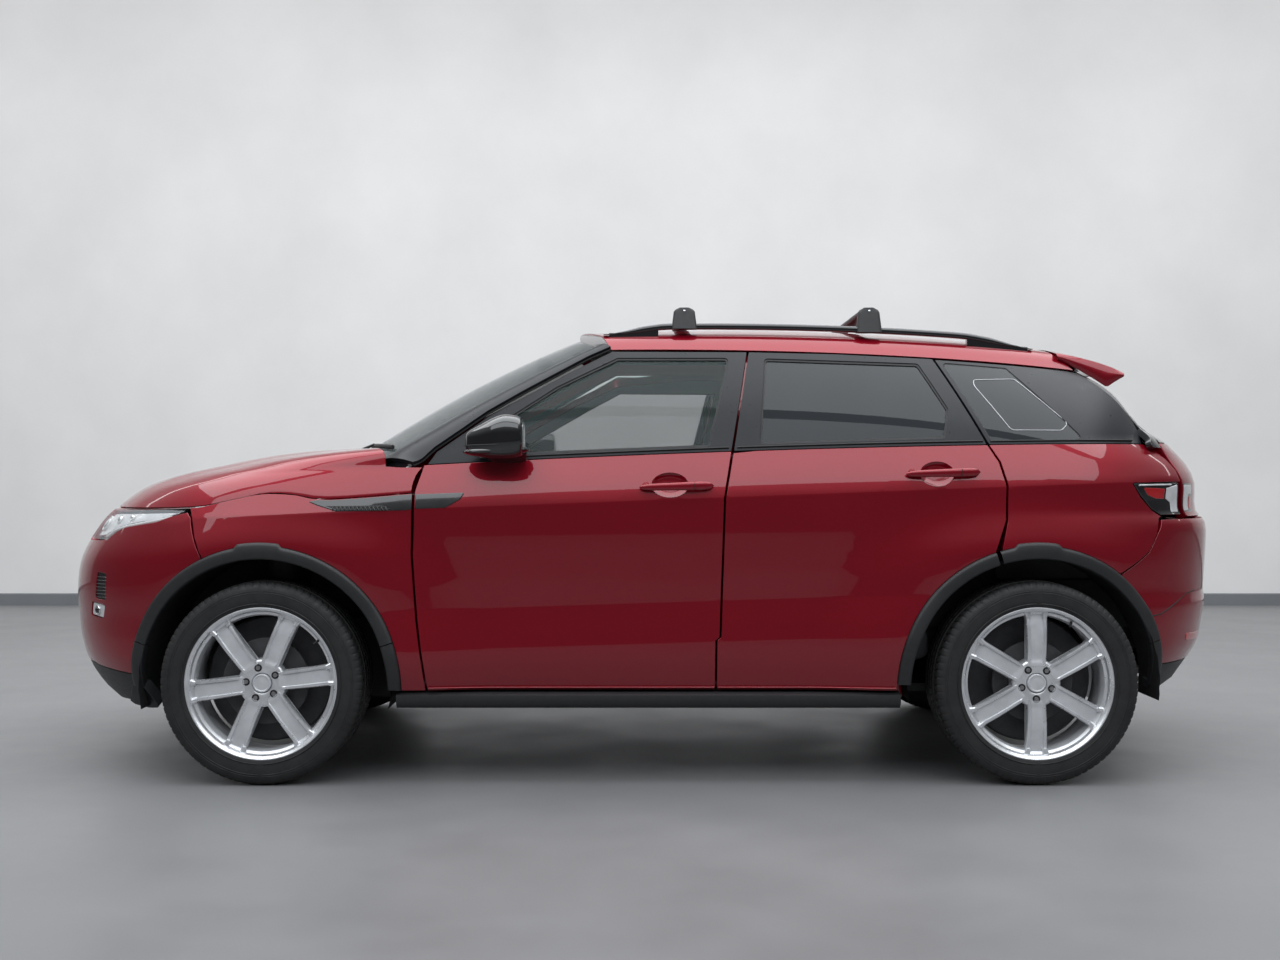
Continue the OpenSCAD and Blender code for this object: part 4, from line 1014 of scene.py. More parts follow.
# Fixed body shell
def shut_run(x0, x1, n, drop):
    """Run just below the bonnet's shut line."""
    xs = np.linspace(x0, x1, n)
    return np.stack([xs, spline(xs, SHUT) - drop], 1)


def fender():
    b = Build()
    outline = np.concatenate([shut_run(-790, -1566, 34, 7.0), [[-1553, 917], [-1538, 849], [-1517, 798]],
                              arch_run(FRONT_AXLE, PANEL_ARCH, 114.8, -2.6, 40),
                              [[-745, 323], [-757, 420], [-776, 571], [-792, 790]]])
    panel(b, side_surf, outline, creases=SIDE_CREASES, **BODY_SKIN)
    both("fender", b, "body", [RED], "red_paint", ["fenders"])


def fender_vent():
    """Black blade behind the wheel arch with crossed bars over a mesh."""
    b = Build()
    outline = np.concatenate([shut_run(-789, -1110, 16, 9.0), [[-1149, 974], [-1113, 960], [-1048, 940],
                                                               [-818, 944], [-789, 947]]])
    panel(b, lifted(side_surf, 3.0), outline, edge=2.5, depth=6.0, grid=22.0, step=8.0)
    mesh = [[-1085, 958], [-890, 960], [-860, 948], [-1040, 943]]
    panel(b, lifted(side_surf, 4.5), mesh, edge=1.0, depth=3.0, grid=12.0, mat=1, step=8.0)
    low, high, lean = 944.5, 957.5, 9
    for x in -1062 + 14 * np.arange(14):
        foot, head = on_side(x, low, 6), on_side(x + lean, high, 6)
        tube(b, [foot, head], 1.6, 0, 6)
        tube(b, [[x + lean, foot[1], low], [x, head[1], high]], 1.6, 0, 6)
    both("fender_vent", b, "body", [GLOSS, MESH], "gloss_black")


def quarter():
    """Rear quarter: red panel, black band round its window, and the pane with an etched line."""
    b = Build()
    outline = np.concatenate([arch_run(REAR_AXLE, PANEL_ARCH, 105.2, 52.4),
                              [[1664, 733], [1721, 769], [1767, 803], [1799, 863], [1811, 915], [1822, 920],
                               [1783, 942], [1737, 988], [1706, 1035], [1712, 1039], [1923, 1043],
                               [1906, 1085], [1872, 1122], [1836, 1152]],
                              belt_run(1792, 1201, 0.0, 16), [[1236, 1110], [1257, 1027], [1254, 910]]])
    panel(b, side_surf, outline, creases=(z_shoulder,), **BODY_SKIN)
    both("quarter_panel", b, "body", [RED], "red_paint", ["body_side_left"])
    d = Build()
    xs = np.linspace(1560, 1057, 14)
    top = np.stack([xs, z_dlo(xs) - 0.5], 1)
    outline = np.concatenate([belt_run(1201, 1786, FRAME_LIFT), REAR_EDGE, top])
    panel(d, side_surf, outline, [QUARTER_WINDOW], edge=2.0, depth=24.0, grid=28.0)
    seal_ring(d, QUARTER_WINDOW, 4.0, 2.0)
    belt_strip(d, 1206, 1740, 13, 20, 4.5)
    both("rear_side_panel", d, "body", [SATIN, SEAL], "black_trim")
    pane = Build()
    panel(pane, lifted(side_surf, -2.5), offset(QUARTER_WINDOW, 6.0), edge=1.0, depth=4.5, grid=40.0, back=0)
    tube(pane, lifted(side_surf, -1.8)(dense(closed(ETCHED_LINE), 10)), 1.3, 1, 6)
    both("quarter_pane", pane, "body", [DARK, ALLOY_DULL], "dark_glass")


def rear_corner():
    """Gloss corner at the foot of the glass band, between the side panel and the tailgate."""
    edge = gate_side(1162, 1240, 8) * FLIP - np.array([7.0, 0.0])
    outer = np.array([[-681, 1240], [-722, 1206], [-742, 1184], [-744, 1164]], float)
    b = Build()
    panel(b, gate_surf, np.concatenate([outer, edge]), edge=1.6, depth=22.0, grid=24.0, step=12.0)
    both("rear_corner", b, "body", [GLOSS], "gloss_black")


def inner_frames():
    """Door openings: painted jambs outside, pale trim inside, and a seal round each."""
    outer = np.concatenate([[[-850, 285], [905, 285]], arch_run(REAR_AXLE, ARCH_R + 9, 188.0, 38.0, 30),
                            [[1712, 700], [1715, 1190], [1560, 1425], [1430, 1470], [900, 1520], [200, 1530],
                             [-110, 1500], [-300, 1413], [-560, 1268], [-720, 1166], [-850, 1122]]])
    front = np.concatenate([FRONT_DOOR_LOW, [[309, 1141]], FRONT_DOOR_TOP])
    rear = np.concatenate([[[262, 323], [870, 323]], arch_run(REAR_AXLE, ARCH_R + 14, 182.6, 112.0, 10),
                           [[1190, 820], [1240, 910], [1243, 1027], [1185, 1170], [1042, 1480], [700, 1497],
                            [392, 1504], [322, 1141], [294, 986]]])
    openings = [grown(front, -46.0), grown(rear, -46.0)]
    b = Build()
    holes = openings + [offset(QUARTER_WINDOW, 6.0)]
    panel(b, frame_surf, outer, holes, depth=60.0, grid=60.0, back=1, step=30.0)
    both("door_opening", b, "body", [RED, LINING], "red_paint")
    for name, loop in zip(("front", "rear"), openings):
        s = Build()
        surface_tube(s, frame_surf, closed(resample(ccw(loop), 25.0)), 6.0, 7.0, 0, 8)
        both(name + "_door_seal", s, "body", [SEAL], "black_trim")


def screen_edge(t):
    """Left edge of the windscreen, from its foot to the roof."""
    t = np.asarray(t, float)
    return np.stack([lerp(-900, -150, t), -(lerp(795, 586, t) + 18 * t * (1 - t)),
                     lerp(1108, 1523, t) + 70 * t * (1 - t)], -1)


def screen_point(t, s, d=0.0):
    """Point of the windscreen at a share of its height and half width, d inside it."""
    e = screen_edge(t)
    mx, mz = lerp(-1105, -258, t), lerp(1140, 1596, t) + 120 * t * (1 - t)
    k = np.abs(s) ** 2.2
    x, z = lerp(mx, e[..., 0], k) + 0.48 * d, lerp(mz, e[..., 2], k) - 0.87 * d
    return np.stack([x, -s * e[..., 1], z], -1)


def screen_grid(t0, t1, rows, s0, s1, cols, d=0.0):
    return screen_point(*np.meshgrid(np.linspace(t0, t1, rows), np.linspace(s0, s1, cols), indexing="ij"), d)


def pillars():
    """Black screen pillars between the door opening and the screen edge."""
    line = np.array([[-790, 1098], [-764, 1108], [-719, 1152], [-630, 1215], [-540, 1280], [-410, 1357],
                     [-276, 1433], [-190, 1482], [-112, 1519]], float)
    run = np.concatenate([[0], np.cumsum(np.linalg.norm(np.diff(line, axis=0), axis=1))])
    n = 44
    at = np.linspace(0, run[-1], n)
    pos, nor = with_normals(side_surf, np.stack([np.interp(at, run, line[:, i]) for i in (0, 1)], 1))
    top = screen_edge(np.linspace(0.0, 1.0, n))
    lean = np.array([-0.35, -0.62, 0.70])
    rows = np.array([lerp(pos, top, w) + (4 * w * (1 - w) * 11.0) * lean for w in np.linspace(0, 1, 9)])
    b = Build()
    shell(b, rows.transpose(1, 0, 2), 16.0)
    foot = rows[:, 0] + np.array([3.0, 3.0, 1.0])
    shell(b, [foot + np.array(by) for by in ((0, 0, 0), (-8.0, 7.0, -16.0), (-10.0, 12.0, -34.0))], 4.0)
    both("screen_pillar", b, "body", [SATIN], "black_trim")
    s = Build()
    tube(s, pos - nor + np.array([0, 0, 1.0]), 4.0, 0, 8)
    tube(s, top + np.array([0, -1.0, 1.0]), 3.5, 0, 8)
    both("pillar_seal", s, "body", [SEAL], "black_trim")


def windscreen():
    b = Build()
    shell(b, screen_grid(0.0, 1, 26, -0.995, 0.995, 40), 5.0, flip=True)
    piece("windscreen", b, "body", [SCREEN], "clear_glass", ["fixed_glass"])
    f = Build()
    for s0, s1 in ((-0.995, -0.95), (0.95, 0.995)):
        sheet(f, screen_grid(0.0, 1, 26, s0, s1, 4, 6.0), flip=True)
    for t0, t1 in ((0.0, 0.05), (0.95, 1.0)):
        sheet(f, screen_grid(t0, t1, 4, -0.99, 0.99, 30, 6.0), flip=True)
    pill(f, screen_point(np.array(0.83), np.array(0.0), 34.0), (70, 250, 62), 3.5, 0, 16)
    piece("screen_border", f, "body", [GLOSS], "gloss_black")


def wipers():
    b = Build()
    for s0, s1, pivot in ((-0.86, -0.08, -330), (-0.02, 0.72, 330)):
        s = np.linspace(s0, s1, 22)
        t = lerp(0.075, 0.035, (s - s0) / (s1 - s0)) + 0.01
        tube(b, screen_point(t, s, -8.0), 6.5, 0, 8, 1.3)
        tip = screen_point(t, s, -15.0)[10]
        arm = [[-1091, pivot, 1080], [-1091, pivot, 1148], [-1082, pivot, 1158], tip]
        tube(b, arm, [9, 9, 8, 5], 0, 10, 0.8)
    piece("wiper_arms", b, "body", [TRIM], "black_trim", ["wipers"])


def cowl():
    """Ribbed panel at the foot of the windscreen."""
    b = Build()
    t, s = np.meshgrid(np.linspace(0, 1, 5), np.linspace(-0.93, 0.93, 40), indexing="ij")
    base = screen_point(np.zeros_like(s), s, 4.0)
    x = np.minimum(-1140 + 250 * np.abs(s) ** 2.2 + 14, base[..., 0] - 8)
    front = np.stack([x, base[..., 1] * 1.02, base[..., 2] - 22], -1)
    shell(b, lerp(front, base, t[..., None]) - np.array([0, 0, 6.0]) * (1 - t[..., None]), 4.0, flip=True)
    for y in -500 + 43 * np.arange(24):
        p = screen_point(np.array(0.0), np.array(y / 795), 4.0)
        tube(b, [p + np.array([-22, 0, -14]), p + np.array([-8, 0, -5])], 3.0, 0, 6)
    piece("cowl_panel", b, "body", [TRIM], "black_trim")


def roof_column(q, n):
    """One fore-and-aft line of the roof skin; q runs from the left gutter to the right one."""
    a = abs(q)
    flat, share = 0.8, 0.93
    if a <= flat:
        s, w = a / flat * share, 0.0
        x0, x1 = -249 + 112 * s * s, 1512 - 14 * s * s
    else:
        s, w = share, (a - flat) / (1 - flat)
        x0, x1 = lerp(-152, -114, w), lerp(1500, 1582, w ** 1.4)
    x = np.linspace(x0, x1, n)
    half = roof_half(x)
    y, z = s * half, roof_z(x, s)
    if w > 0:
        low_z = z_dlo(x) + 6.5
        low_y = house(x, low_z)
        slope = -2.4 * (z_crown(x) - z_edge(x) - 6) * s ** 1.4 / half
        bend = ((y, z), (y + 46, z + 46 * slope), (low_y - 24, low_z + 30), (low_y, low_z))
        share = ((1 - w) ** 3, 3 * w * (1 - w) ** 2, 3 * w * w * (1 - w), w ** 3)
        y, z = (sum(k * p[i] for k, p in zip(share, bend)) for i in (0, 1))
    return np.stack([x, math.copysign(1.0, q) * y, z], 1)


def roof_grid(qs, n):
    return np.array([roof_column(q, n) for q in qs]).transpose(1, 0, 2)


def edged(inner, n_edge, n_mid):
    """Stations from -1 to 1, closer together beyond the inner share."""
    return np.concatenate([np.linspace(-1, -inner, n_edge), np.linspace(-inner, inner, n_mid)[1:-1],
                           np.linspace(inner, 1, n_edge)])


def roof():
    b = Build()
    shell(b, roof_grid(edged(0.8, 10, 33), 64), 6.0, flip=True)
    piece("roof_skin", b, "body", [RED], "red_paint", ["roof"], angle=50)
    h = Build()
    qs = np.linspace(-0.86, 0.86, 30)
    g = roof_grid(qs, 40) - np.array([0, 0, 42.0])
    g[:, :, 2] -= 10 * np.abs(qs)[None, :] ** 4
    shell(h, g[:-2], 5.0, flip=True)
    pill(h, (-60, 0, 1560), (190, 220, 26), 4.0, 1, 16)
    for d in (-1, 1):
        pill(h, (-150, d * 330, 1532), (130, 330, 16), 4.0, 0, 14)
    piece("headliner", h, "body", [LINING, DASH], "dash_plastic", angle=60)


def bonnet_grid():
    """Bonnet skin from its shut line to the cowl, with a pressed ridge on each side."""
    back = np.concatenate([np.linspace(0, 0.1, 7)[:-1], np.linspace(0.1, 1, 30)])
    cc, uu = np.meshgrid(edged(0.8, 16, 49), back)
    f, s = corner(np.radians(np.abs(cc) * (lerp(88.42, 87.50, uu) + 0.20 * uu * (1 - uu))))
    low = spline(spline(-spline(spline(-2035 * f, SHUT), NOSE) * f, SHUT), NOSE)
    cowl_x = -1135 + 250 * np.abs(s) ** 2.2
    high = np.maximum(np.minimum(-cowl_x / f, 1664), 960)
    r = lerp(low, high, uu)
    x, z = -r * f, spline(r, NOSE_BY_REACH)
    y = s * section(x, z)
    a, ridge_at = np.abs(s), 0.70
    ridge = np.exp(-((a - ridge_at) / 0.035) ** 2) * smooth((uu - 0.04) / 0.2) * smooth((1.0 - uu) / 0.25)
    dish = smooth((a - ridge_at) / 0.03) * smooth((0.93 - a) / 0.1) * smooth(uu / 0.2)
    roll = np.exp(-uu * 60.0)
    return np.stack([x + 3.0 * roll, np.sign(cc) * (y - 2.0 * roll), z + 5.0 * ridge - 3.0 * dish], -1)


def bonnet():
    b = Build()
    g = bonnet_grid()
    shell(b, g, 9.0, flip=True)
    piece("bonnet_skin", b, "bonnet", [RED], "red_paint", ["bonnet"], angle=45)
    u = Build()
    sheet(u, g[4:-2, 8:-8] - np.array([0, 0, 26.0]))
    for d in (-1, 0, 1):
        tube(u, [[-1850, d * 300, 1010], [-1500, d * 340, 1088], [-1190, d * 380, 1120]], 18, 0, 10, 0.6)
    for d in (-1, 1):
        tube(u, [[-900, d * 850, 1030], [-830, d * 848, 1062], [-800, d * 848, 1100]], [14, 14, 12], 1, 12)
        tube(u, [[-800, d * 832, 1100], [-800, d * 864, 1100]], 11, 1, 16)
    piece("bonnet_lining", u, "bonnet", [UNDER, STEEL], "under_coat", angle=60)


# Front end
UPPER_GRILLE = np.array([[-479, 812], [479, 812], [473, 934], [-473, 934]], float)
LOWER_GRILLE = np.array([[-400, 440], [400, 440], [500, 640], [-500, 640]], float)
LAMP_LOW = np.array([[-1590, 938], [-1636, 921], [-1691, 901], [-1827, 880], [-1866, 863],
                     [-1909, 834]], float)
SLOT = rounded(from_side(NOSE, [[-1948, 626], [-1898, 622], [-1894, 716], [-1938, 722]]), 9)
FOG = rounded(from_side(NOSE, [[-1978, 564], [-1912, 556], [-1900, 606], [-1968, 614]]), 9)


def grille_loop(corners):
    return from_end(dense(closed(corners), 40)[:-1])


def front_bumper():
    low = np.concatenate([end_run([[20, 392], [640, 390]]), nose_run([[-1960, 384], [-1790, 368]])])
    ring = from_side(NOSE, arch_run(FRONT_AXLE, PANEL_ARCH, 176.0, 115.6))
    seam = from_side(NOSE, [[-1523, 798], [-1544, 849], [-1559, 917], [-1573, 936]])
    lamp = from_side(NOSE, LAMP_LOW[1:])
    inner = from_end([[520, 828], [486, 830], [482, 940], [20, 944]])
    holes = [rounded(grille_loop(UPPER_GRILLE), 12), rounded(grille_loop(LOWER_GRILLE), 16)]
    holes += [SLOT, SLOT * FLIP, FOG, FOG * FLIP]
    b = Build()
    panel(b, FRONT, whole(np.concatenate([low, ring, seam, lamp, inner])), holes, **BUMPER_SKIN)
    piece("front_bumper_skin", b, "body", [RED], "red_paint", ["front_bumper"])


def front_valance():
    half = [end_run([[20, 236], [500, 238]]), nose_run([[-1850, 252], [-1745, 256]]),
            from_side(NOSE, arch_run(FRONT_AXLE, PANEL_ARCH, 190.0, 178.0, 6)),
            nose_run([[-1792, 364], [-1960, 380]]), end_run([[640, 386], [20, 388]])]
    b = Build()
    panel(b, lifted(FRONT, -3.0), whole(np.concatenate(half)), **VALANCE)
    piece("front_valance", b, "body", [TRIM], "black_trim")


def grilles():
    """Two grilles of cross bars over uprights and a back plate, and the slots beside them."""
    b = Build()
    for hole, z0, z1, bars, reach in ((UPPER_GRILLE, 800, 936, 6, 462), (LOWER_GRILLE, 430, 650, 9, 430)):
        panel(b, lifted(FRONT, -22.0), grown(grille_loop(hole), 8.0), edge=1.0, depth=4.0, grid=50.0, mat=1)
        for k in range(bars):
            z = lerp(z0 + 14, z1 - 14, (k + 0.5) / bars)
            half = np.interp(z, hole[1:3, 1], hole[1:3, 0]) - 8
            line = from_end(np.stack([np.linspace(-half, half, 40), np.full(40, z)], 1))
            surface_tube(b, FRONT, line, -10.0, 4.6, 0, 8, 0.7)
        ys = np.linspace(-440, 440, 27)
        for y in ys[np.abs(ys) <= reach]:
            line = from_end(np.stack([np.full(8, y), np.linspace(z0 + 12, z1 - 12, 8)], 1))
            surface_tube(b, FRONT, line, -15.0, 2.6, 1)
    for hand in SIDES:
        slot = SLOT * hand
        panel(b, lifted(FRONT, -4.0), grown(slot, 3.0), edge=1.0, depth=3.0, grid=20.0, mat=1)
        left, right = slot[:, 0].min() - 3, slot[:, 0].max() + 3
        for z in np.linspace(632, 704, 7):
            surface_tube(b, FRONT, np.stack([np.linspace(left, right, 6), np.full(6, z)], 1), -2.5, 2.2)
    piece("front_grilles", b, "body", [GLOSS, MESH], "gloss_black", ["grilles"])


def lamp_bowl(b, surf, place, out, r):
    """Small projector on a surface: a bright ring round a domed lens."""
    pos, nor = with_normals(surf, place)
    axis = nor[0] / np.linalg.norm(nor[0])
    centre = pos[0] + nor[0] * out
    u = np.cross(axis, [0, 0, 1.0])
    u /= np.linalg.norm(u)
    v = np.cross(u, axis)
    c, s = turn(32)
    profile = ((1.0, -8), (1.05, 0), (1.0, 4), (0.9, 4), (0.84, -2), (0.78, 2), (0.6, 6), (0.35, 8.5),
               (0.05, 9.5))
    rings = [centre + axis * h + r * k * (c[:, None] * u + s[:, None] * v) for k, h in profile]
    loft(b, rings[:5], 3, caps=False)
    loft(b, rings[4:], 2, caps=False)


def head_lamps():
    """Clear lens, dark housing, bright bowl with projectors, and a light strip."""
    outline = np.concatenate([nose_run([[-1579, 943], [-1650, 945], [-1750, 944], [-1900, 943]]),
                              from_end([[560, 941], [492, 940], [494, 838], [530, 833]]),
                              nose_run(LAMP_LOW[::-1])])
    lens = Build()
    panel(lens, lifted(FRONT, -0.5), outline, depth=6.0, grid=22.0, step=10.0)
    both("head_lamp_lens", lens, "body", [LENS], "lamp_clear", ["front_lamps"])
    b = Build()
    panel(b, lifted(FRONT, -34.0), grown(outline, 2.0), edge=1.0, depth=10.0, grid=24.0)
    bright = np.concatenate([nose_run([[-1606, 941], [-1700, 940], [-1800, 939], [-1890, 937]]),
                             from_end([[560, 934], [506, 930], [508, 852], [545, 848]]),
                             nose_run([[-1945, 856], [-1890, 880], [-1820, 897], [-1700, 915]])])
    panel(b, lifted(FRONT, -14.0), bright, depth=18.0, grid=16.0, mat=1, rim=2, step=8.0)
    strip = nose_run([[-1640, 925], [-1700, 909], [-1820, 890], [-1880, 876], [-1930, 850]], 16)
    surface_tube(b, FRONT, strip, -12.0, 5.0, 3, 10)
    for x, z, r in ((-1962, 896, 31), (-1878, 915, 18), (-1812, 922, 13)):
        lamp_bowl(b, FRONT, from_side(NOSE, [[x, z]]), -12.0, r)
    both("head_lamp_inside", b, "body", [GLOSS, LENS_WHITE, CHROME, PLATE], "lamp_clear")


def fog_lamps():
    b = Build()
    panel(b, lifted(FRONT, -4.0), offset(FOG, -2.0), edge=2.5, grid=10.0, rim=1, step=6.0)
    lamp_bowl(b, FRONT, FOG.mean(0)[None], -2.0, 17)
    panel(b, lifted(FRONT, -20.0), offset(FOG, 6.0), edge=1.0, depth=4.0, grid=14.0, mat=2)
    both("fog_lamp", b, "body", [LENS_WHITE, CHROME, GLOSS, CHROME], "lamp_clear")


# Rear end
def rear_bumper():
    half = [end_run([[20, 398], [640, 398]]), tail_run([[1900, 398], [1836, 398]]),
            from_side(TAIL, arch_run(REAR_AXLE, PANEL_ARCH, 6.4, 51.6, 22)),
            from_side(TAIL, [[1664, 725], [1721, 761], [1767, 795], [1806, 863], [1819, 909]]),
            end_run([[690, 911], [20, 911]])]
    b = Build()
    panel(b, REAR, whole(np.concatenate(half)), **BUMPER_SKIN)
    piece("rear_bumper_skin", b, "body", [RED], "red_paint", ["rear_bumper"])


def rear_valance():
    """Black lower edge, with the bumper's seam and reflector on each side."""
    half = [end_run([[20, 268], [600, 272]]), tail_run([[1850, 292], [1826, 300]]),
            from_side(TAIL, arch_run(REAR_AXLE, PANEL_ARCH, -4.5, 5.6, 5)),
            tail_run([[1840, 393], [1900, 393]]), end_run([[640, 393], [20, 393]])]
    b = Build()
    panel(b, lifted(REAR, -3.0), whole(np.concatenate(half)), **VALANCE)
    seam = tail_run([[1742, 570], [1816, 579], [1873, 608], [1937, 642], [1990, 652]], 12)
    reflector = from_end([[560, 470], [700, 474], [700, 500], [560, 496]])
    for hand in SIDES:
        surface_tube(b, REAR, seam * hand, -0.6, 2.2, 1)
        panel(b, lifted(REAR, 1.5), rounded(reflector * hand, 8), edge=2.0, depth=4.0, grid=20.0, mat=2)
    piece("rear_valance", b, "body", [TRIM, SEAL, LENS_RED], "black_trim")


def tail_lamps():
    """Body half of each rear lamp: a dark lens with red and white parts and a strip on top."""
    low = tail_run([[1709, 1036], [1739, 993], [1785, 947], [1826, 925]], 14)
    b = Build()
    panel(b, lifted(REAR, -1.0), np.concatenate([low, from_end([[714, 926], [714, 1039]])]), depth=20.0,
          grid=16.0, step=8.0)
    red = tail_run([[1748, 1022], [1766, 995], [1800, 983], [1838, 981], [1842, 1018]], 12)
    panel(b, lifted(REAR, 0.8), red, mat=1, **LAMP_PART)
    white = np.concatenate([tail_run([[1850, 1020], [1846, 982], [1868, 968], [1872, 934]], 12),
                            from_end([[722, 934], [722, 1032]])])
    panel(b, lifted(REAR, 0.8), white, mat=2, **LAMP_PART)
    surface_tube(b, REAR, tail_run([[1730, 1030], [1800, 1031], [1870, 1032]], 14), 1.5, 3.0, 2, 8)
    both("tail_lamp", b.mirrored(), "body", [GLOSS, LENS_RED, LENS_WHITE], "lamp_red", ["tail_lamps"])


# Tailgate, given as place across the car and height
GATE_EDGE = np.array([[880, 690], [1040, 698], [1186, 690], [1300, 640], [1440, 560], [1520, 520]], float)
GATE_WINDOW = rounded([[-600, 1198], [600, 1198], [478, 1428], [-478, 1428]], 30)
PLATE_RECESS = rounded([[-290, 968], [290, 968], [290, 1092], [-290, 1092]], 18)
BLANK_PLATE = [[-258, 975], [258, 975], [258, 1085], [-258, 1085]]
TAIL_AXIS_X, TAIL_AXIS_Z = 1452.0, 1496.0


def gate_surf(p):
    y, z = p[:, 0], p[:, 1]
    k = smooth((z - 1100) / 150)
    w = lerp(section(np.full_like(z, 2000.0), z), 905, k)
    x = spline(z, TAIL) * (1 - np.minimum(np.abs(y / w), 0.999) ** END_Y) ** (1 / lerp(END_X, 12, k))
    return np.stack([x, y, z], 1)


def gate_side(z0, z1, n=12):
    """Right edge of the tailgate between two heights."""
    zs = np.linspace(z0, z1, n)
    return np.stack([np.interp(zs, GATE_EDGE[:, 0], GATE_EDGE[:, 1]), zs], 1)


def gate_outline(low, edge, top):
    """Outline from half widths and heights of its foot and top, and its right edge."""
    (yl, zl), (yt, zt) = low, top
    return np.concatenate([dense([[-yl, zl], [yl, zl]], 40), edge, dense([[yt, zt], [-yt, zt]], 40),
                           (edge * FLIP)[::-1]])


def tailgate():
    b = Build()
    outline = gate_outline((680, 919), gate_side(922, 1178), (680, 1181))
    panel(b, gate_surf, outline, [PLATE_RECESS], depth=34.0)
    panel(b, lifted(gate_surf, -16.0), offset(PLATE_RECESS, 4.0), edge=1.0, depth=4.0, grid=60.0)
    piece("tailgate_skin", b, "tailgate", [RED], "red_paint", ["tailgate"])
    p = Build()
    panel(p, lifted(gate_surf, -11.0), BLANK_PLATE, edge=1.5, depth=3.0, grid=60.0, radius=10.0)
    piece("blank_plate", p, "tailgate", [PLATE], "black_trim")
    f = Build()
    outline = gate_outline((684, 1183), gate_side(1184, 1462), (540, 1464))
    panel(f, gate_surf, outline, [GATE_WINDOW], depth=34.0)
    tube(f, [[1985, -30, 1196], [1930, 200, 1216], [1880, 380, 1232]], 6, 1, 8)
    pill(f, (2004, -30, 1186), (40, 60, 26), 3.0, 1, 12)
    piece("tailgate_frame", f, "tailgate", [GLOSS, TRIM], "gloss_black")
    g = Build()
    panel(g, lifted(gate_surf, -5.0), offset(GATE_WINDOW, 8.0), **PANE)
    piece("tailgate_pane", g, "tailgate", [DARK], "dark_glass", ["tailgate_glass"])


def gate_lamps():
    """Tailgate half of each rear lamp: dark base, white and red parts."""
    parts = ((0.8, [[-692, 930], [-600, 936], [-612, 1036], [-694, 1038]]),
             (2.0, [[-688, 938], [-652, 940], [-652, 996], [-622, 998], [-624, 1030], [-690, 1031]]),
             (2.0, [[-646, 944], [-612, 947], [-618, 990], [-646, 988]]))
    b = Build()
    for mat, (lift, outline) in enumerate(parts):
        panel(b, lifted(gate_surf, lift), outline, edge=1.5, depth=8.0, grid=12.0, mat=mat, step=8.0,
              radius=7.0)
    both("gate_lamp", b, "tailgate", [GLOSS, LENS_WHITE, LENS_RED], "lamp_red")


def gate_lining():
    """Inside trim of the tailgate with its hinge arms and buffers."""
    inner = np.concatenate([dense([[-640, 935], [640, 935]], 60), [[640, 1170]],
                            dense([[620, 1172], [-620, 1172]], 60), [[-640, 1170]]])

    def inside_face(q):
        return gate_surf(q * FLIP) - np.array([52.0, 0, 0])
    b = Build()
    panel(b, inside_face, inner * FLIP, edge=6.0, depth=20.0, grid=70.0, step=30.0)
    arm = ((TAIL_AXIS_X, TAIL_AXIS_Z), (1462, 1455), (1490, 1418), (1570, 1440))
    for d in (-1, 1):
        tube(b, [[x, d * 395, z] for x, z in arm], 11, 1, 10)
        tube(b, [[1690, d * 600, 1290], [1740, d * 590, 1235]], 9, 1, 10)
    piece("tailgate_lining", b, "tailgate", [DASH, CAST], "dash_plastic")


def spoiler():
    """Roof spoiler, undercut at its front so that it swings past the roof, with the high stop lamp."""
    s = edged(0.86, 8, 27)
    a = np.abs(s)
    tip = smooth((a - 0.84) / 0.16)
    front = lerp(1519 - 14 * a * a, 1521, smooth((a - 0.8) / 0.2))
    arch = roof_z(1512, a)
    lean = 1.04 * (arch - TAIL_AXIS_Z) / (front - TAIL_AXIS_X) * lerp(88, 26, tip)
    top, low = [], []
    for u in np.linspace(0, 1, 22):
        x, y = lerp(front, 1818 - 44 * a * a, u), s * lerp(556, 545, u)
        z = arch - 62 * u ** 1.3 - 10 * u ** 6
        deep = lerp(70 * (1 - u) + 18, np.interp(u, [0, 0.25, 0.74, 1], [26, 46, 84, 16]), tip)
        top.append(np.stack([x, y * (1 - 0.004 * tip), z - 3 * tip], 1))
        low.append(np.stack([x + lean * (1 - u), y, z - deep], 1))
    top, low = np.array(top), np.array(low)
    b = Build()
    sheet(b, top, flip=True)
    sheet(b, low)
    for row in (0, -1):
        sheet(b, [top[row], low[row]], flip=(row == 0))
    for col in (0, -1):
        rows = []
        for w in np.linspace(0, 1, 7):
            p = lerp(top[:, col], low[:, col], w)
            p[:, 1] += math.copysign(7.0 * math.sin(math.pi * w), p[0, 1])
            rows.append(p)
        sheet(b, rows, flip=(col == -1))
    piece("roof_spoiler", b, "tailgate", [RED], "red_paint", angle=50)
    lamp = Build()
    tube(lamp, low[-3:-1, 17:26].mean(axis=0) + np.array([10.0, 0, 12.0]), 5.0, 0, 8)
    piece("high_stop_lamp", lamp, "tailgate", [LENS_RED], "lamp_red")


# Mirrors and roof rack
MIRROR_X, MIRROR_Y, MIRROR_Z = -486, -962, 1196
MIRROR_GLASS = rounded([[-1022, 1156], [-900, 1154], [-900, 1236], [-1018, 1240]], 26)


def mirror_shape(p, unit):
    """Head of a mirror: tapered ahead and cut flat behind."""
    x, y, z = p.T
    ahead = smooth((30 - x) / 130)
    z = z * (1 - 0.40 * ahead) - 26 * ahead * (z < 0) * 0.6 - 12 * ahead
    return np.stack([np.where(x > 78, 78 + (x - 78) * 0.25, x), y * (1 - 0.30 * ahead), z], 1)


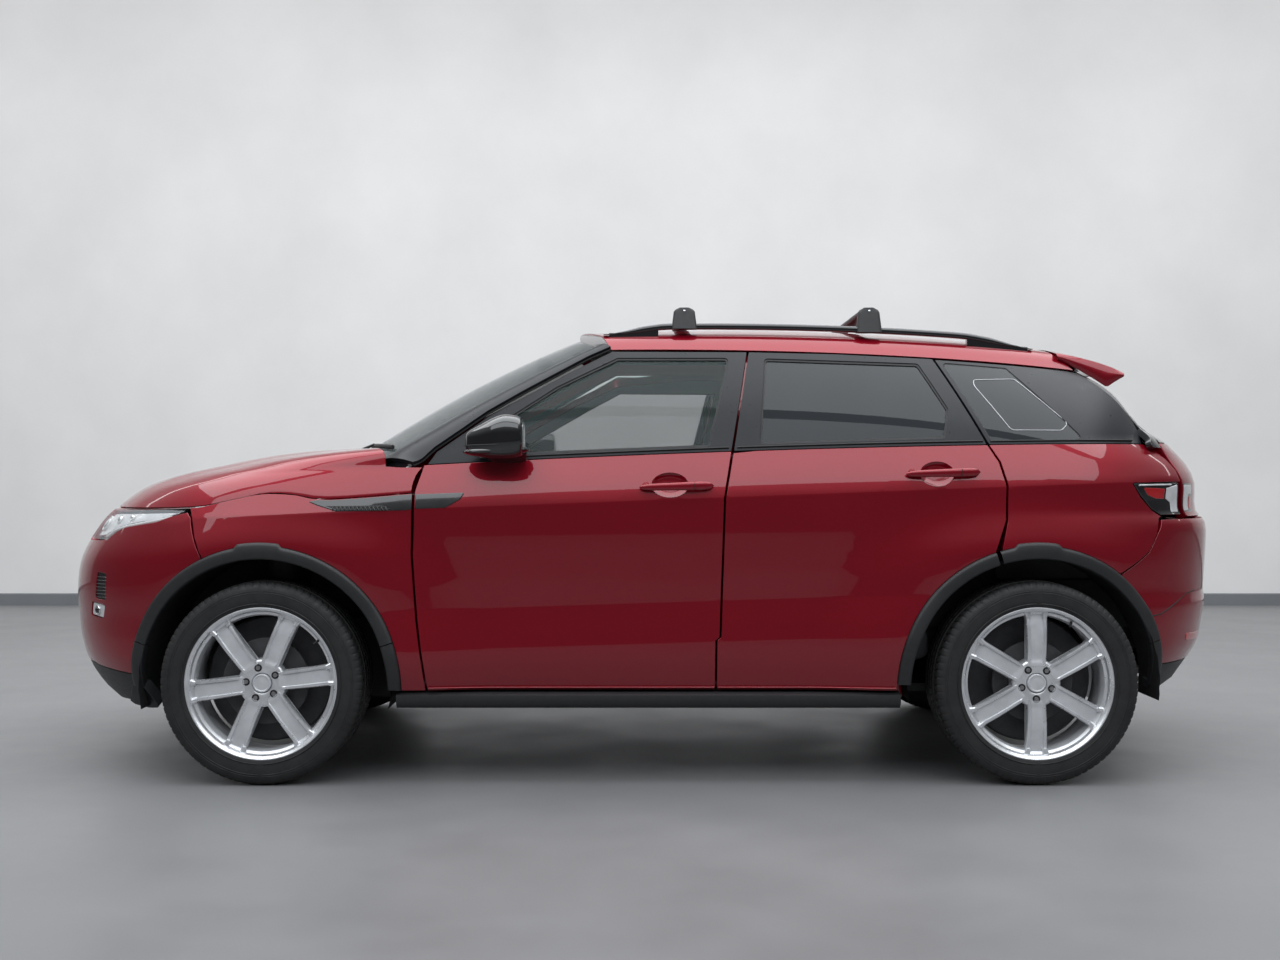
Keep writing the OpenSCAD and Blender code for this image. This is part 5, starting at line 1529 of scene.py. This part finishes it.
def mirrors():
    b = Build()
    pill(b, (MIRROR_X, MIRROR_Y, MIRROR_Z), (226, 184, 152), 2.9, 0, 30, mirror_shape)
    loft(b, [oval(1, lerp(-876, -928, t), (lerp(-462, -478, t), lerp(1116, 1142, t)),
                  (lerp(62, 84, t), lerp(11, 17, t)), 24) for t in np.linspace(0, 1, 8)])
    lower = []
    for t in np.linspace(-1, 1, 17):
        w = math.sqrt(max(0.03, 1 - abs(t) ** 3.0))
        lower.append(oval(0, -496 + 112 * t, (-955, 1147 + 4 * t), (84 * w, 19 * w), 24))
    loft(b, lower)
    both("mirror_shell", b, "door_front_left", [GLOSS], "gloss_black", ["mirror_left"])

    def face(p):
        return np.stack([np.full(len(p), -401.5), p[:, 0], p[:, 1]], 1)
    g = Build()
    panel(g, face, MIRROR_GLASS, edge=2.0, depth=6.0, grid=40.0)
    both("mirror_glass", g, "door_front_left", [CHROME], "gloss_black")
    seam = []
    for x in np.linspace(-600, -400, 16):
        d = x - MIRROR_X
        seam.append([x, MIRROR_Y - 86 * math.sqrt(max(0.05, 1 - abs(d / 125) ** 2.9)), 1167 + 0.03 * d])
    s = Build()
    tube(s, seam, 2.2, 0, 6)
    both("mirror_seam", s, "door_front_left", [SEAL], "gloss_black")


RAIL_IN, RAIL_HALF = 34, 13
RAIL_FRONT, RAIL_REAR = -140, 1440
BAR_X, BAR_Z = (155.0, 830.0), 1665


def rail_y(x):
    return float(roof_half(x)) - RAIL_IN + RAIL_HALF


def rail_low(x):
    """Underside of a roof rail, which stands off the roof between its feet."""
    half = roof_half(x)
    lift = 15 * smooth((x + 60) / 160) * smooth((1360 - x) / 200)
    return float(roof_z(x, (half - RAIL_IN) / half) + lift)


def roof_rails():
    b = Build()
    rings = []
    for x in np.concatenate([np.linspace(RAIL_FRONT, 40, 16), np.linspace(40, 1250, 40)[1:],
                             np.linspace(1250, RAIL_REAR, 16)[1:]]):
        end = min(1.0, (x - RAIL_FRONT) / 150, (RAIL_REAR - x) / 170)
        half = 11.5 * (0.12 + 0.88 * float(smooth(end)))
        rings.append(oval(0, x, (-rail_y(x), rail_low(x) + half), (-14, half), 16, (0.6, 0.7)))
    loft(b, rings)
    foot = ((-11, 6), (11, 6), (12, -16), (-12, -22))
    for x0, x1 in ((-120, 60), (1190, 1420)):
        loft(b, [[[x, d - rail_y(x), rail_low(x) + h] for d, h in foot] for x in np.linspace(x0, x1, 10)])
    both("roof_rail", b, "body", [GLOSS], "gloss_black", ["roof_rack"])


def roof_bars():
    b = Build()
    for x in BAR_X:
        y, base = rail_y(x), rail_low(x)
        loft(b, [oval(1, v, (x, BAR_Z), (30, 13), 20, (1.0, 0.7)) for v in np.linspace(-y + 20, y - 20, 31)])
        for d in (-1, 1):
            foot = []
            for t in np.linspace(0, 1, 12):
                w = lerp(47, 37, t) * (1 - 0.5 * float(smooth((t - 0.82) / 0.18)) ** 2)
                foot.append(oval(2, lerp(base + 2, BAR_Z + 13, t), (x, d * (y - 8 * t)),
                                 (w, lerp(28, 17, t)), 24, (0.45, 0.45)))
            loft(b, foot)
            pill(b, (x, d * (y + 12), BAR_Z - 1), (10, 8, 10), 2.4, 1, 10)
    piece("roof_bars", b, "body", [TRIM, CHROME], "black_trim", angle=45)


# Wheels, built round their own centres with the outer face towards -Y
TREAD_BLOCKS = 84
SPOKES, SPOKE_FOOT, SPOKE_TIP = 6, 58, 252
SPOKE_FACE = -96


def tyre():
    """Tyre as a height field round the wheel: blocks, slanted shoulder grooves and plain sidewalls."""
    n = 504
    theta = np.linspace(0, 2 * np.pi, n, endpoint=False)
    half = TYRE_W / 2
    wall = [(-half + 6, 262), (-half + 2, 272), (-half + 0.5, 290), (-half, 306), (-half + 1, 322),
            (-half + 5, 334), (-half + 12, 342)]
    tread = [(a, 350 - 5.5 * abs(a / half) ** 3.2) for a in np.linspace(-half + 18, half - 18, 41)]
    rings = []
    for y, r in wall + tread + [(-a, r) for a, r in wall[::-1]]:
        a = abs(y)
        slots = smooth((np.cos(theta * TREAD_BLOCKS + 0.05 * a) - 0.74) / 0.18)
        cut = np.zeros(n)
        if r > 338:
            groove = max(float(smooth((6.5 - abs(y - at)) / 3.0)) for at in (-56, -19, 19, 56))
            where = smooth((a - 62) / 8) + 0.5 * smooth((15 - a) / 6) + 0.6 * smooth((9 - abs(a - 38)) / 5)
            cut = np.maximum(8.0 * groove, (6.0 - 3.2 * smooth((a - 88) / 12)) * slots * where)
        elif r > 318:
            cut = 2.6 * slots * float(smooth((r - 322) / 16))
        rings.append(np.stack([(r - cut) * np.cos(theta), np.full(n, y), (r - cut) * np.sin(theta)], 1))
    b = Build()
    b.add(rings, grid_faces(len(rings), n, loop=True))
    for y in (0.6 - half, half - 0.6):
        for r, w in ((274, 2.2), (311, 1.6), (318, 1.2)):
            tube(b, closed(oval(1, y, (0, 0), (r, r), 120)), w, 0, 6)
    return b


def two_tone(b, grid, faces, bright):
    """Faces of a grid in material 0 where bright holds for their number, and in 1 elsewhere."""
    b.add(grid, [f for i, f in enumerate(faces) if bright(i)], 0)
    b.add(grid, [f for i, f in enumerate(faces) if not bright(i)], 1)


def spoke_section(t):
    """Half of a spoke's section at a share of its length: place across it and depth, edge to middle."""
    w = lerp(31, 37, t) + 5 * float(smooth((t - 0.82) / 0.18))
    d = SPOKE_FACE - 10 * math.sin(math.pi * min(1, t)) + 10 * t
    rib = 9.0 + 3 * t
    sink = 6.5 * float(smooth((t - 0.04) / 0.1)) * float(smooth((1.02 - t) / 0.05))
    half = [(w, d + lerp(34, 26, t)), (w + 1.0, d + 6), (w - 2.2, d + 0.6), (w - 5, d), (w - rib, d),
            (w - rib - 2.5, d + sink)]
    return [(-s, y) for s, y in half] + [(0, d + sink * 0.92)] + half[::-1]


def spokes(b, phase):
    """Six split spokes: a sunk flat web with bright raised ribs that splay into claws at the rim."""
    for a in np.radians(phase + 360 / SPOKES * np.arange(SPOKES)):
        ca, sa = math.cos(a), math.sin(a)

        def out(p):
            r, s, y = np.asarray(p, float).T
            return np.stack([r * ca - s * sa, y, r * sa + s * ca], 1)
        rows = []
        for r in np.linspace(SPOKE_FOOT, SPOKE_TIP, 26):
            t = (r - SPOKE_FOOT) / (SPOKE_TIP - SPOKE_FOOT)
            rows.append(out([[r, s, y] for s, y in spoke_section(t)]))
        strips = len(rows[0]) - 1
        two_tone(b, rows, grid_faces(len(rows), strips + 1), lambda i: i % strips not in (5, 6))
        back = [[r, s, SPOKE_FACE + 34] for r in (SPOKE_FOOT, SPOKE_TIP) for s in (-34, 34)]
        sheet(b, out(back).reshape(2, 2, 3), 1)
        for s in (-1, 1):
            claw = []
            for t in np.linspace(0, 1, 7):
                middle, half = (s * lerp(28, 36, t), -90 + 2 * t), (0.9 * lerp(10, 15, t), 8)
                claw.append(out(oval(0, lerp(226, 254, t), middle, half, 12)))
            loft(b, claw)


def rim(phase, lugs):
    """Alloy wheel: lip, barrel, spokes, hub with five lug wells and nuts, the wells black as painted shade, a
    plain cap and the valve.
    """
    lip = ((246, 92), (252, 106), (259, 111), (264, 110), (265, 104), (262, 98), (256, 92), (250, 60),
           (244, 20), (236, -20), (230, -60), (236, -86), (250, -92), (258, -99), (264, -104), (265, -110),
           (259, -111.5), (252, -108), (247, -100), (244, -88), (241, -70), (237, -40), (238, 20), (242, 60),
           (246, 92))
    n = 120
    b = Build()
    rings = [oval(1, y, (0, 0), (r, r), n) for r, y in lip]
    two_tone(b, rings, backward(grid_faces(len(lip), n, loop=True)), lambda i: 11 <= i // n <= 19)
    spokes(b, phase)
    hub = ((84, -40), (84, -84), (81, -91), (76, -94), (68, -95), (40, -95), (36, -93), (34, -86), (33, -85))
    revolve(b, hub, n)
    # Black disc round each nut: painted shade standing in for the dark lug bore, which the hub does not model
    # as a hole.
    painted_well_shade = ((13.0, -94.0), (13.0, -96.6), (12.2, -97.2), (11.4, -96.2), (0.4, -96.0))
    nut = ((8.4, -95), (8.4, -98.6), (7.2, -100.0), (3.0, -100.6), (0.3, -100.6))
    for t in np.radians(lugs + 72 * np.arange(5)):
        centre = (54 * math.cos(t), 0, 54 * math.sin(t))
        revolve(b, painted_well_shade, 24, 2, centre)
        revolve(b, nut, 6, 3, centre)
    cap = ((32.5, -84), (32, -97), (30, -99.5), (27, -100), (25, -98.4), (23, -98.2), (12, -99.4),
           (0.4, -99.8))
    revolve(b, cap, 48, 1)
    t = math.radians(phase + 30)
    stem = ((240, -88), (240 * 0.96, -97), (240 * 0.93, -102))
    valve = [[r * math.cos(t), y, r * math.sin(t)] for r, y in stem]
    return tube(b, valve, [5, 4, 4], 2, 10)


def wheels():
    for end, axle, phase, lugs in (("front", FRONT_AXLE, 7.0, 31.0), ("rear", REAR_AXLE, 30.0, 52.0)):
        left_rim, left_tyre = rim(phase, lugs), tyre()
        for word, y in (("left", -HALF_TRACK), ("right", HALF_TRACK)):
            corner_name = "%s_%s" % (end, word)
            for kind, part, b, mats, slot, angle in (
                    ("rim", "face", left_rim, [ALLOY, ALLOY_DULL, SEAL, STEEL], "alloy", 38),
                    ("tyre", "tread", left_tyre, [RUBBER], "tyre_rubber", 40)):
                node = "%s_%s" % (kind, corner_name)
                placed = (b if word == "left" else b.mirrored()).shifted(axle, y, HUB_Z)
                piece("%s.%s" % (node, part), placed, "wheel_" + corner_name, mats, slot, [node], angle)


def brakes():
    """Discs turn with the wheels, shields stay with the knuckles or the body."""
    shield = ((64, 34), (64, 26), (70, 22), (190, 22), (214, 28), (220, 40), (216, 42), (188, 30), (64, 34))
    for end, axle, r in (("front", FRONT_AXLE, 150), ("rear", REAR_AXLE, 140)):
        disc = Build()
        revolve(disc, ((74, -30), (74, -50), (78, -52), (r - 62, -52), (r - 60, -38), (r - 2, -38), (r, -36),
                       (r, -22), (r - 2, -20), (r - 60, -20)), 72, flip=True)
        for word, hand in (("left", -1), ("right", 1)):
            centre = (axle, hand * HALF_TRACK, HUB_Z)
            cover = Build()
            revolve(cover, [(a, -hand * y) for a, y in shield], 64, 0, centre)
            carrier = "knuckle_" + word if end == "front" else "body"
            piece("shield_%s_%s" % (end, word), cover, carrier, [CAST], "cast")
            placed = (disc if hand < 0 else disc.mirrored()).shifted(*centre)
            piece("disc_%s_%s" % (end, word), placed, "wheel_%s_%s" % (end, word), [CAST, STEEL], "steel",
                  angle=40)


# Cabin
def cushion_shape(crown, bolster, seams):
    """Crowned pad with raised sides and pressed seams, for the top face of a rounded block."""
    def shape(p, unit):
        u, v, w = unit.T
        lift = bolster * smooth((np.abs(v) - 0.62) / 0.22) + crown * (1 - v * v)
        dip = sum(7.0 * np.exp(-((np.abs(v) - s) / 0.035) ** 2) for s in seams)
        dip = dip + sum(4.0 * np.exp(-((u - at) / 0.045) ** 2) * (np.abs(v) < 0.62)
                        for at in (-0.45, 0.0, 0.45))
        return p + np.stack([0 * u, 0 * v, smooth((w + 0.1) / 0.5) * (lift - dip)], 1)
    return shape


def stood(b, rise, ahead=0.0):
    """Copy of a lying pad stood on end, its top face to the front."""
    return b.moved(lambda v: np.stack([-v[:, 2] - ahead, v[:, 1], v[:, 0] + rise], 1))


def leaned(b, origin, tilt):
    """Copy leaned back round a cross axis at the origin."""
    c, s = math.cos(math.radians(tilt)), math.sin(math.radians(tilt))

    def move(v):
        x, z = v[:, 0], v[:, 2]
        return np.stack([origin[0] + x * c + z * s, origin[1] + v[:, 1], origin[2] - x * s + z * c], 1)
    return b.moved(move)


def pad(size, power, n, shape, centre=(0, 0, 0)):
    return pill(Build(), centre, size, power, 0, n, shape)


SEAT_TILT, SEAT_Y, SEAT_BACK = 20, 365, 570


def front_seats():
    base = pad((510, 500, 150), 6.0, 40, cushion_shape(10, 26, (0.62,)), (-250, 0, 0))
    back = stood(pad((SEAT_BACK, 480, 112), 6.0, 40, cushion_shape(8, 34, (0.62,))), SEAT_BACK / 2)
    for y in (-60, 60):
        tube(back, [[10, y, SEAT_BACK - 20], [4, y, SEAT_BACK + 50]], 7, 1, 10)
    back.join(stood(pad((170, 250, 92), 4.0, 24, cushion_shape(6, 4, ())), SEAT_BACK + 112, 4))
    for word, y in (("left", -SEAT_Y), ("right", SEAT_Y)):
        b = base.shifted(245, y, 470).join(leaned(back, (262, y, 505), SEAT_TILT))
        piece("front_seat_" + word, b, "body", [LEATHER, STEEL], "seat_leather", ["front_seats"], angle=60)
        r = Build()
        for d in (-160, 160):
            tube(r, [[-250, y + d, 400], [240, y + d, 400]], 16, 0, 8)
        pill(r, (0, y, 408), (430, 420, 40), 5.0, 0, 10)
        piece("seat_runner_" + word, r, "body", [CAST], "under_coat")


def rear_bench():
    b = pad((490, 1220, 150), 6.0, 48, cushion_shape(8, 12, (0.33,)), (935, 0, 470))
    back = stood(pad((545, 1220, 112), 6.0, 48, cushion_shape(8, 16, (0.33,))), 272)
    b.join(leaned(back, (1110, 0, 530), SEAT_TILT))
    head = stood(pad((130, 240, 84), 4.0, 20, cushion_shape(5, 4, ())), 0)
    for y in (-380, 0, 380):
        b.join(leaned(head, (1300, y, 1150), 14))
        for d in (-55, 55):
            tube(b, [[1275, y + d, 1030], [1290, y + d, 1110]], 6, 1, 8)
    piece("rear_bench", b, "body", [LEATHER, STEEL], "seat_leather", ["rear_seat"], angle=60)


def dashboard():
    """Dashboard with a hooded cluster, three vents, a screen and a row of switches."""
    b = Build()
    rings = []
    for y in np.linspace(-688, 688, 45):
        hood = 26 * math.exp(-((y + SEAT_Y) / 150) ** 4)
        deep = 6 * math.exp(-(y / 120) ** 4)
        profile = ((-830, 990), (-800, 1008), (-720, 1016 + hood * 0.5), (-640, 1018 + hood),
                   (-606, 1010 + hood), (-594, 985 + hood), (-588 + deep, 940), (-576 + deep, 880),
                   (-572 + deep, 820), (-590, 740), (-640, 660), (-760, 650), (-830, 760))
        rings.append([[x, y, z] for x, z in profile])
    loft(b, rings)
    for y, width in ((-560, 130), (0, 260), (560, 130)):
        pill(b, (-586, y, 960), (30, width, 52), 4.0, 1, 14)
        for z in 944 + 11 * np.arange(4):
            tube(b, [[-570, y - 55, z], [-570, y + 55, z]], 2.2, 0, 6)
    pill(b, (-578, 0, 872), (16, 250, 96), 6.0, 1, 14)
    for y in -100 + 40 * np.arange(6):
        pill(b, (-566, y, 806), (14, 26, 14), 3.0, 2, 8)
    pill(b, (-612, -SEAT_Y, 1004), (40, 260, 70), 3.5, 1, 16)
    for y in (-430, -300):
        dial = ((44, 0), (44, 6), (0.92 * 44, 7), (0.88 * 44, 2), (4.4, 2))
        loft(b, [oval(0, d - 590, (y, 1004), (r, 0.75 * r), 28) for r, d in dial], 2, caps=False)
    piece("dash_top", b, "body", [DASH, GLOSS, CHROME, PLATE], "dash_plastic", ["dashboard"], angle=50)


def console():
    b = Build()
    rings = []
    for x in np.linspace(-600, 300, 24):
        t = (x + 600) / 900
        top = lerp(640, 600, smooth(t * 2)) + 40 * float(smooth((t - 0.62) / 0.12))
        half = ((104, 440), (106, top - 40), (96, top - 8), (70, top))
        rings.append([[x, -y, z] for y, z in half] + [[x, y, z] for y, z in half[::-1]])
    loft(b, rings)
    tube(b, [[-250, 0, 600], [-262, 0, 690], [-268, 0, 720]], [12, 9, 9], 1, 12)
    pill(b, (-270, 0, 742), (46, 46, 70), 2.6, 0, 14)
    piece("centre_console", b, "body", [DASH, CHROME], "dash_plastic", angle=50)


def steering_wheel():
    """Leather grip, three spokes, hub and column stub round the leaned axis."""
    centre = np.array([-472.0, -365.0, 980.0])
    axis, up = np.array([0.9135, 0.0, 0.4067]), np.array([-0.4067, 0.0, 0.9135])
    across = np.array([0.0, 1.0, 0.0])
    b = Build()
    a = np.linspace(0, 2 * np.pi, 73)
    tube(b, centre + 176 * (np.cos(a)[:, None] * across + np.sin(a)[:, None] * up), 14.0, 0, 14)
    for t in np.radians((20, 160, 270)):
        d = math.cos(t) * across + math.sin(t) * up
        spoke = [centre - axis * 14 + d * 30, centre - axis * 8 + d * 110, centre + d * 172]
        tube(b, spoke, [19, 13, 10], 1, 12, 0.6)
    hub = pad((130, 118, 46), 3.2, 20, None)
    b.join(hub.moved(lambda v: centre - axis * 8 + v[:, :1] * across + v[:, 1:2] * up + v[:, 2:] * axis))
    tube(b, [centre - axis * 22, centre - axis * 118], [40, 36], 0, 16)
    piece("steering_wheel.grip", b, "steering_wheel", [LEATHER, CHROME], "dash_plastic", ["steering_wheel"],
          angle=50)


def cabin_floor():
    """Carpets with a slight wave, raised at the front bulkhead, and the luggage bay's side trim."""
    b = Build()
    for x0, x1, rows, half, base, wave, rise in ((-830, 640, 40, 735, 424, 3, 60),
                                                 (1330, 1900, 30, 640, 690, 2, 0)):
        xs, ys = np.meshgrid(np.linspace(x0, x1, rows), np.linspace(-half, half, 30), indexing="ij")
        z = base + wave * np.sin(xs * 0.02) * np.cos(ys * 0.03) + rise * smooth((-600 - xs) / 200)
        sheet(b, np.stack([xs, ys, z], -1), flip=True)
    piece("floor_carpet", b, "body", [CARPET], "dash_plastic")

    def inside_wall(p):
        x, z = -p[:, 0], p[:, 1]
        return np.stack([x, -np.minimum(660, side(x, z) - 105), z], 1)
    t = Build()
    panel(t, inside_wall, [[-1880, 690], [-1270, 690], [-1270, 1160], [-1880, 1120]], edge=4.0, depth=20.0,
          grid=60.0, step=30.0, radius=20.0)
    both("luggage_side", t, "body", [DASH], "dash_plastic")


# Stage, in metres
CAMERA_PLACE, LENS_MM = (-0.007, -5.92, 1.048), 41.06
ROOM_HALF, ROOM_FRONT, WALL_Y, WALL_TOP = 16.0, -6.6, 6.3, 7.0


def stage_finish(name, colour, rough, scale):
    s = Shader(name, colour, rough)
    s.tint(s.noise(scale, 5.0), shade(colour, 0.93), shade(colour, 1.05))
    s.roughness(s.noise(scale * 2, 3.0), rough - 0.06, rough + 0.06)
    return s.bump(s.noise(scale * 40, 4.0), 0.05, 0.001).mat


def stage_sheet(name, profile, n, mat, flip=False):
    """Sheet along the room through places across it and heights, no part of the object."""
    b = Build()
    sheet(b, [[[x, y, z] for y, z in profile] for x in np.linspace(-ROOM_HALF, ROOM_HALF, n) / MM], flip=flip)
    new_object(name, b, [mat])


def stage():
    wall, low = WALL_Y / MM, -0.5
    stage_sheet("studio_floor", [(y, low) for y in np.linspace(ROOM_FRONT / MM, wall, 9)], 9,
                stage_finish("studio_floor", (0.20, 0.20, 0.205), 0.45, 1.2), flip=True)
    stage_sheet("studio_wall", [(wall, z) for z in np.linspace(low, WALL_TOP / MM, 9)], 9,
                stage_finish("studio_wall", (0.70, 0.70, 0.70), 0.75, 0.8))
    stage_sheet("studio_skirting", [(wall - 1, 100), (wall - 16, 100), (wall - 20, 92), (wall - 20, -1)], 5,
                stage_finish("studio_skirting", (0.16, 0.17, 0.18), 0.5, 2.0))


def area_light(name, place, aim, size, power, tint):
    data = bpy.data.lights.new(name, "AREA")
    data.shape, data.size, data.size_y = "RECTANGLE", size[0], size[1]
    data.energy, data.color = power, tint
    obj = bpy.data.objects.new(name, data)
    bpy.context.scene.collection.objects.link(obj)
    obj.location = place
    obj.rotation_euler = (Vector(aim) - Vector(place)).to_track_quat("-Z", "Y").to_euler()


def lights():
    area_light("overhead", (0.0, -0.4, 5.2), (0, 0, 0), (10.0, 4.6), 420, (0.94, 0.97, 1.0))
    area_light("camera_side", (0.0, -6.4, 6.4), (0, 0, 0.6), (15.0, 4.4), 430, (0.91, 0.955, 1.0))
    area_light("wall_wash", (0.0, 2.6, 5.6), (0, WALL_Y, 1.2), (30.0, 1.4), 470, (1.0, 0.99, 0.98))
    world = bpy.data.worlds.new("studio")
    bpy.context.scene.world = world
    world.use_nodes = True
    nodes, links = world.node_tree.nodes, world.node_tree.links
    back = next(n for n in nodes if n.type == "BACKGROUND")
    coord, split = nodes.new("ShaderNodeTexCoord"), nodes.new("ShaderNodeSeparateXYZ")
    ramp = nodes.new("ShaderNodeValToRGB")
    links.new(coord.outputs["Generated"], split.inputs["Vector"])
    links.new(split.outputs["Z"], ramp.inputs["Fac"])
    shades = ((0.14, (0.13, 0.13, 0.14)), (0.50, (0.62, 0.64, 0.66)))
    for stop, (height, colour) in zip(ramp.color_ramp.elements, shades):
        stop.position, stop.color = height, (*colour, 1)
    links.new(ramp.outputs["Color"], back.inputs["Color"])
    back.inputs["Strength"].default_value = 0.70


def camera():
    cam = bpy.data.cameras.new("camera")
    cam.lens, cam.sensor_width = LENS_MM, 36.0
    cam.clip_start, cam.clip_end = 0.05, 80.0
    obj = bpy.data.objects.new("camera", cam)
    bpy.context.scene.collection.objects.link(obj)
    obj.location = CAMERA_PLACE
    obj.rotation_euler = (math.radians(90), 0, 0)
    bpy.context.scene.camera = obj


for build in (doors, arch_mouldings, sills, arch_liners, fender, fender_vent, quarter, rear_corner,
              inner_frames, pillars, windscreen, wipers, cowl, roof, bonnet, front_bumper, front_valance,
              grilles, head_lamps, fog_lamps, rear_bumper, rear_valance, tail_lamps, tailgate, spoiler,
              gate_lamps, gate_lining, mirrors, roof_rails, roof_bars, wheels, brakes, front_seats,
              rear_bench, dashboard, console, steering_wheel, cabin_floor, dress_cad, stage, lights, camera):
    build()
bpy.context.scene.view_settings.view_transform = "Standard"
